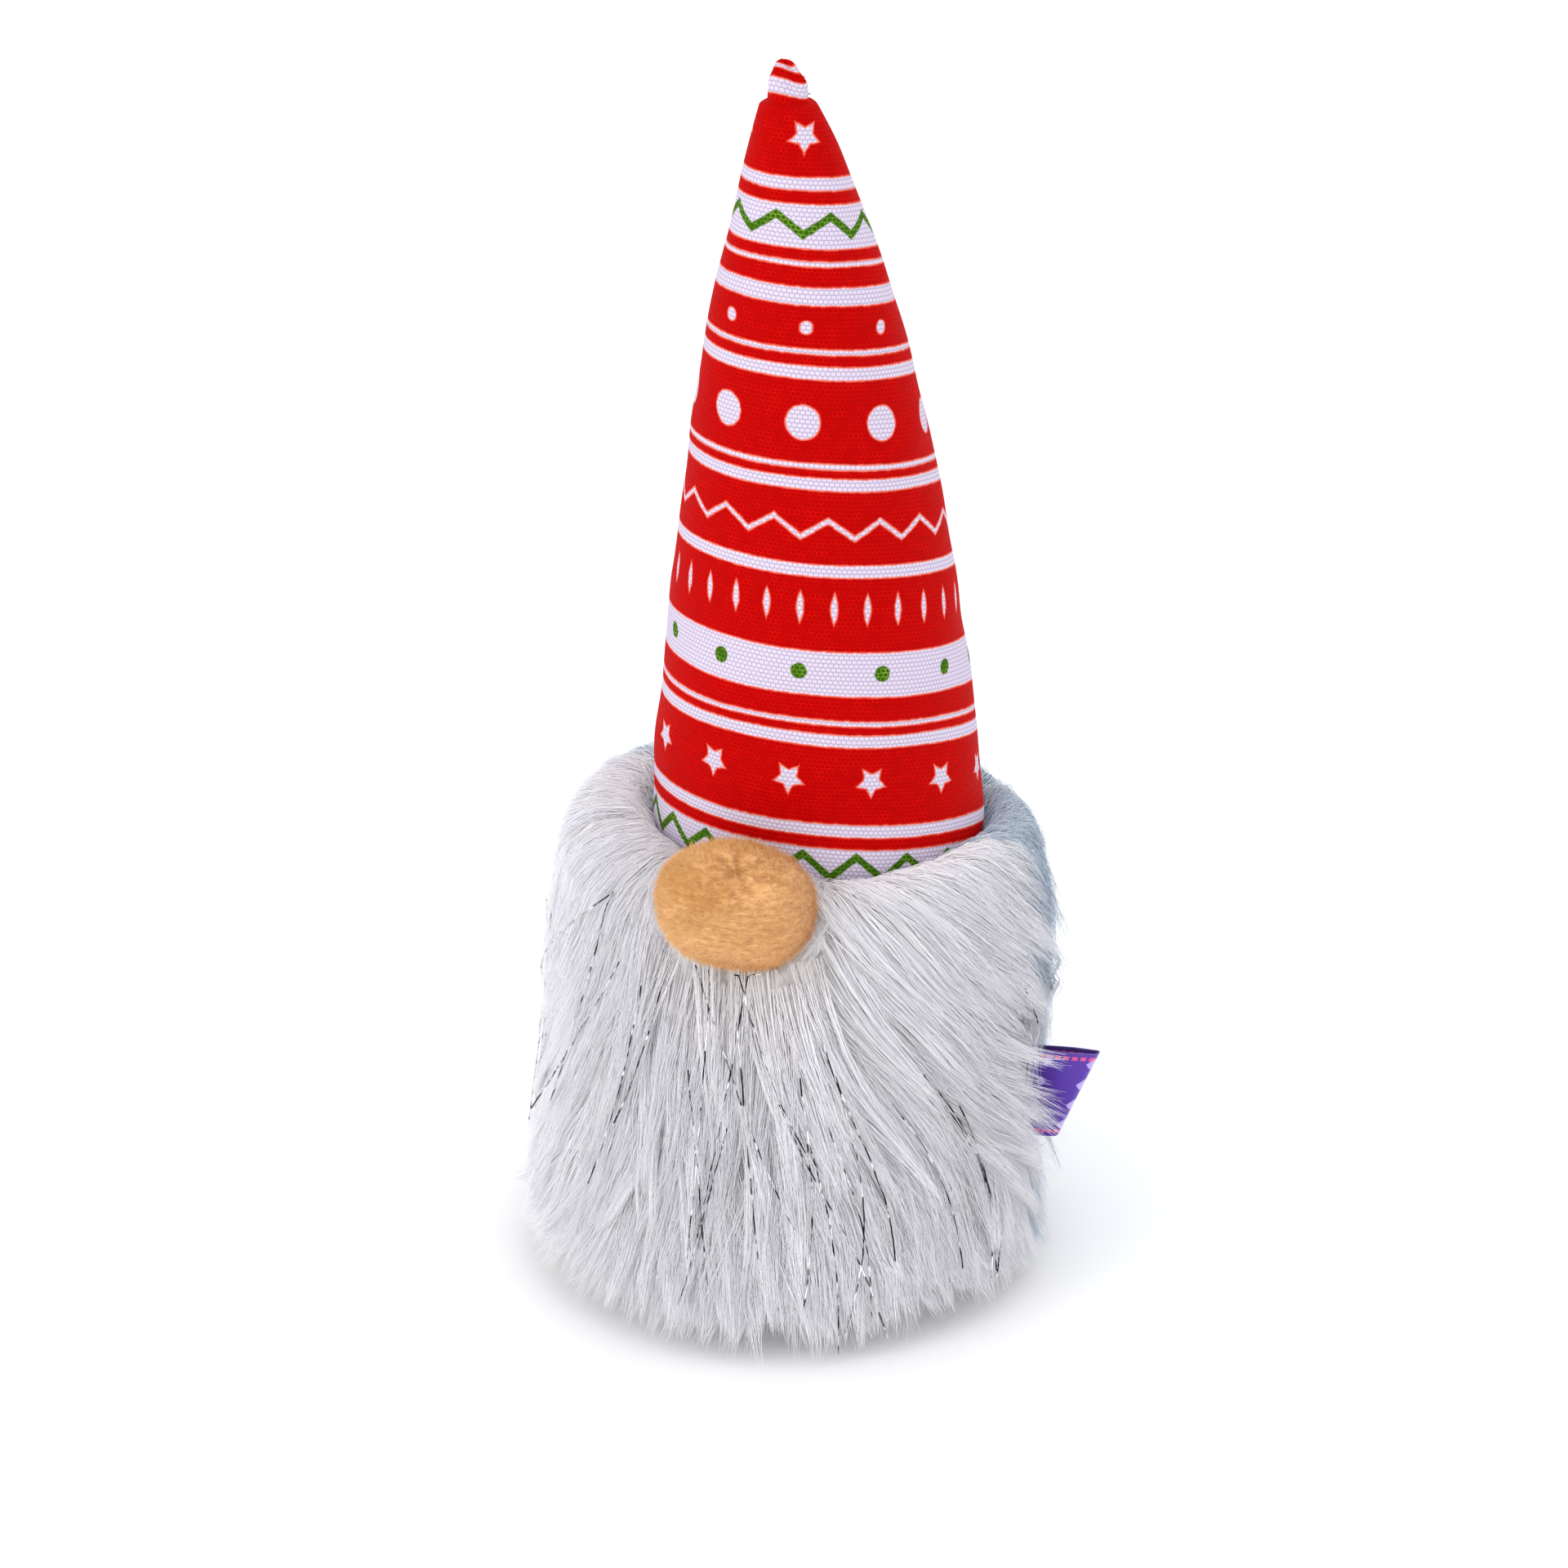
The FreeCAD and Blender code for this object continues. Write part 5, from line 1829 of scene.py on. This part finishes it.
class Inside:
    """The parts that the cloth and fur hide, shown as they were made."""

    finishes = {
        "fibre": (
            SoftCloth("hollow_polyester_fibre", "#F2F1EC", "#D9D7D0", (0.8, 0.8, 0.8), 0.5),
            ("body_stuffing",),
        ),
        "thread": (
            SoftCloth("white_polyester_thread", "#E9E7E2", "#BDB9B2", (0.3, 0.3, 0.3), 0.05),
            ("hat_tip_thread", "hat_attach_thread", "nose_gather_thread", "side_seam_thread_left",
             "side_seam_thread_right", "base_seam_thread", "label_stitches"),
        ),
        "backing": (
            SoftCloth("knitted_polyester_backing", "#E3E0DC", "#C2BEBA", (0.9, 0.9, 1.3), 0.2),
            ("front_fur_backing", "back_fur_backing"),
        ),
        "pouch": (
            SoftCloth("nonwoven_polypropylene_pouch", "#F0EFEB", "#CFCDC8", (1.2, 1.2, 1.2), 0.1),
            ("pellet_pouch",),
        ),
        "pellets": (
            SoftCloth("moulded_polyethylene_pellets", "#EDEBE4", "#D6D3CA", (2.0, 2.0, 2.0), 0.02, 0.0, 0.4),
            ("weight_pellets",),
        ),
        "card": (
            SoftCloth("grey_recycled_board", "#9C978E", "#7B766E", (0.5, 0.5, 0.5), 0.08, 0.0),
            ("base_card",),
        ),
    }

    def dress(self) -> dict[str, bpy.types.Material]:
        """Give each hidden CAD node its finish.

        Returns:
            The materials by short name.
        """
        made = {}
        for label, (finish, nodes) in self.finishes.items():
            made[label] = finish.material()
            for node in nodes:
                data = bpy.data.objects[node].data
                data.materials.clear()
                data.materials.append(made[label])
        return made


# ---- studio ------------------------------------------------------------------------------------
@dataclass(frozen=True)
class Lamp:
    """One soft box: where it is, what it looks at, its size in metres, its power in watts and its colour."""

    name: str
    at: tuple[float, float, float]
    size: float
    power: float
    colour: tuple[float, float, float] = (1.0, 1.0, 1.0)


class Studio:
    """A white table and backdrop, soft boxes, and the camera."""

    lamps = (
        Lamp("key", (-0.7, -1.1, 0.9), 0.9, 5.0, (1.0, 0.985, 0.965)),
        Lamp("front", (0.45, -1.3, 0.35), 1.0, 1.8, (1.0, 1.0, 1.0)),
        Lamp("rim", (1.1, 0.35, 0.8), 0.7, 1.2, (0.84, 0.9, 1.0)),
        Lamp("top", (0.0, 0.3, 1.5), 1.0, 1.5, (1.0, 1.0, 1.0)),
    )
    target = (-0.00786, -0.00334, 0.1224)
    azimuth = 23.0
    elevation = 24.0
    distance = 1.0
    lens = 94.9

    def build(self) -> None:
        """Put up the floor, the light and the camera."""
        scene = bpy.context.scene
        # the table lies a hair's breadth below the piece
        corners = [(x, y, -0.0002) for x, y in ((-4, -4), (4, -4), (4, 4), (-4, 4))]
        floor = mesh_object("studio_floor", np.array(corners), [(0, 1, 2, 3)])
        material, add = new_material("white_table")
        shader = add("ShaderNodeBsdfPrincipled", {"Base Color": linear("#F7F7F8"), "Roughness": 0.9})
        add("ShaderNodeOutputMaterial", {"Surface": shader})
        floor.data.materials.append(material)
        for lamp in self.lamps:
            light = bpy.data.lights.new(lamp.name, "AREA")
            light.shape = "DISK"
            light.size = lamp.size
            light.energy = lamp.power
            light.color = lamp.colour
            self.place(bpy.data.objects.new(lamp.name, light), np.array(lamp.at))
        world = bpy.data.worlds.new("pale_room")
        world.use_nodes = True
        world.node_tree.nodes.clear()
        sky = add_node(
            world.node_tree, "ShaderNodeBackground", {"Color": (0.98, 0.985, 1.0, 1.0), "Strength": 1.16},
        )
        add_node(world.node_tree, "ShaderNodeOutputWorld", {"Surface": sky})
        scene.world = world
        scene.view_settings.view_transform = "Standard"
        camera = bpy.data.cameras.new("camera")
        camera.lens = self.lens
        turn, rise = math.radians(self.azimuth), math.radians(self.elevation)
        back = np.array([math.sin(turn) * math.cos(rise), -math.cos(turn) * math.cos(rise), math.sin(rise)])
        holder = self.place(
            bpy.data.objects.new("camera", camera), np.array(self.target) + back * self.distance,
        )
        scene.camera = holder

    def place(self, obj: bpy.types.Object, at: np.ndarray) -> bpy.types.Object:
        """Stand a light or camera at a place and turn it to the target.

        Args:
            obj: the light or camera.
            at: where it stands, in metres.

        Returns:
            The same object.
        """
        way = Vector(np.array(self.target) - at)
        obj.location = at
        obj.rotation_euler = way.to_track_quat("-Z", "Y").to_euler()
        bpy.context.scene.collection.objects.link(obj)
        return obj


def main() -> None:
    """Build the gnome's parts in order, light them, and note the sizes."""
    logging.basicConfig(level=logging.INFO, format="%(name)s %(message)s")
    threads = Inside().dress()
    hat = Hat(HatSize())
    hat.panel(FolkPrint())
    hat.stuffing(threads["fibre"])
    hat.seam(threads["thread"])
    nose = Nose(NoseSize())
    ball = nose.cover(
        SoftCloth("tan_polyester_plush", "#EEC084", "#CB9452", (2.0, 2.0, 0.6), 0.3, 0.5, 0.85, 1.7)
    )
    nose.stuffing(threads["fibre"])
    nose.fuzz(ball)
    coat = FurCoat(CoatSize(), NoseSize())
    coat.undercoat(SoftCloth("dense_acrylic_underwool", "#E8E5E4", "#C4BEB6", (0.7, 0.7, 5.0), 0.5))
    coat.locks(
        AcrylicPile(
            "ivory_acrylic_pile",
            ("#FFFFFF", "#FCFBFF", "#F8F7FF", "#FEFDFF", "#F5F3FE", "#FAF8FC"), "#F8F4F2",
        ),
        # the back panel is the same white fur, painted blue-grey and darker: painted shade of the side
        # turned from the lamps
        AcrylicPile(
            "cool_acrylic_pile",
            ("#D6E1EC", "#C6D4E3", "#B8C8DA", "#D0DDE9", "#BFCFE0", "#DEE7F0"), "#8EA3B9",
        ),
    )
    coat.tinsel(TinselFilm())
    Label(LabelSize()).build(WovenRibbon())
    Underside().build(SoftCloth("plain_woven_polyester", "#F1F0EE", "#D5D3D0", (0.6, 0.6, 0.6), 0.12))
    Studio().build()


if __name__ == "__main__":
    main()
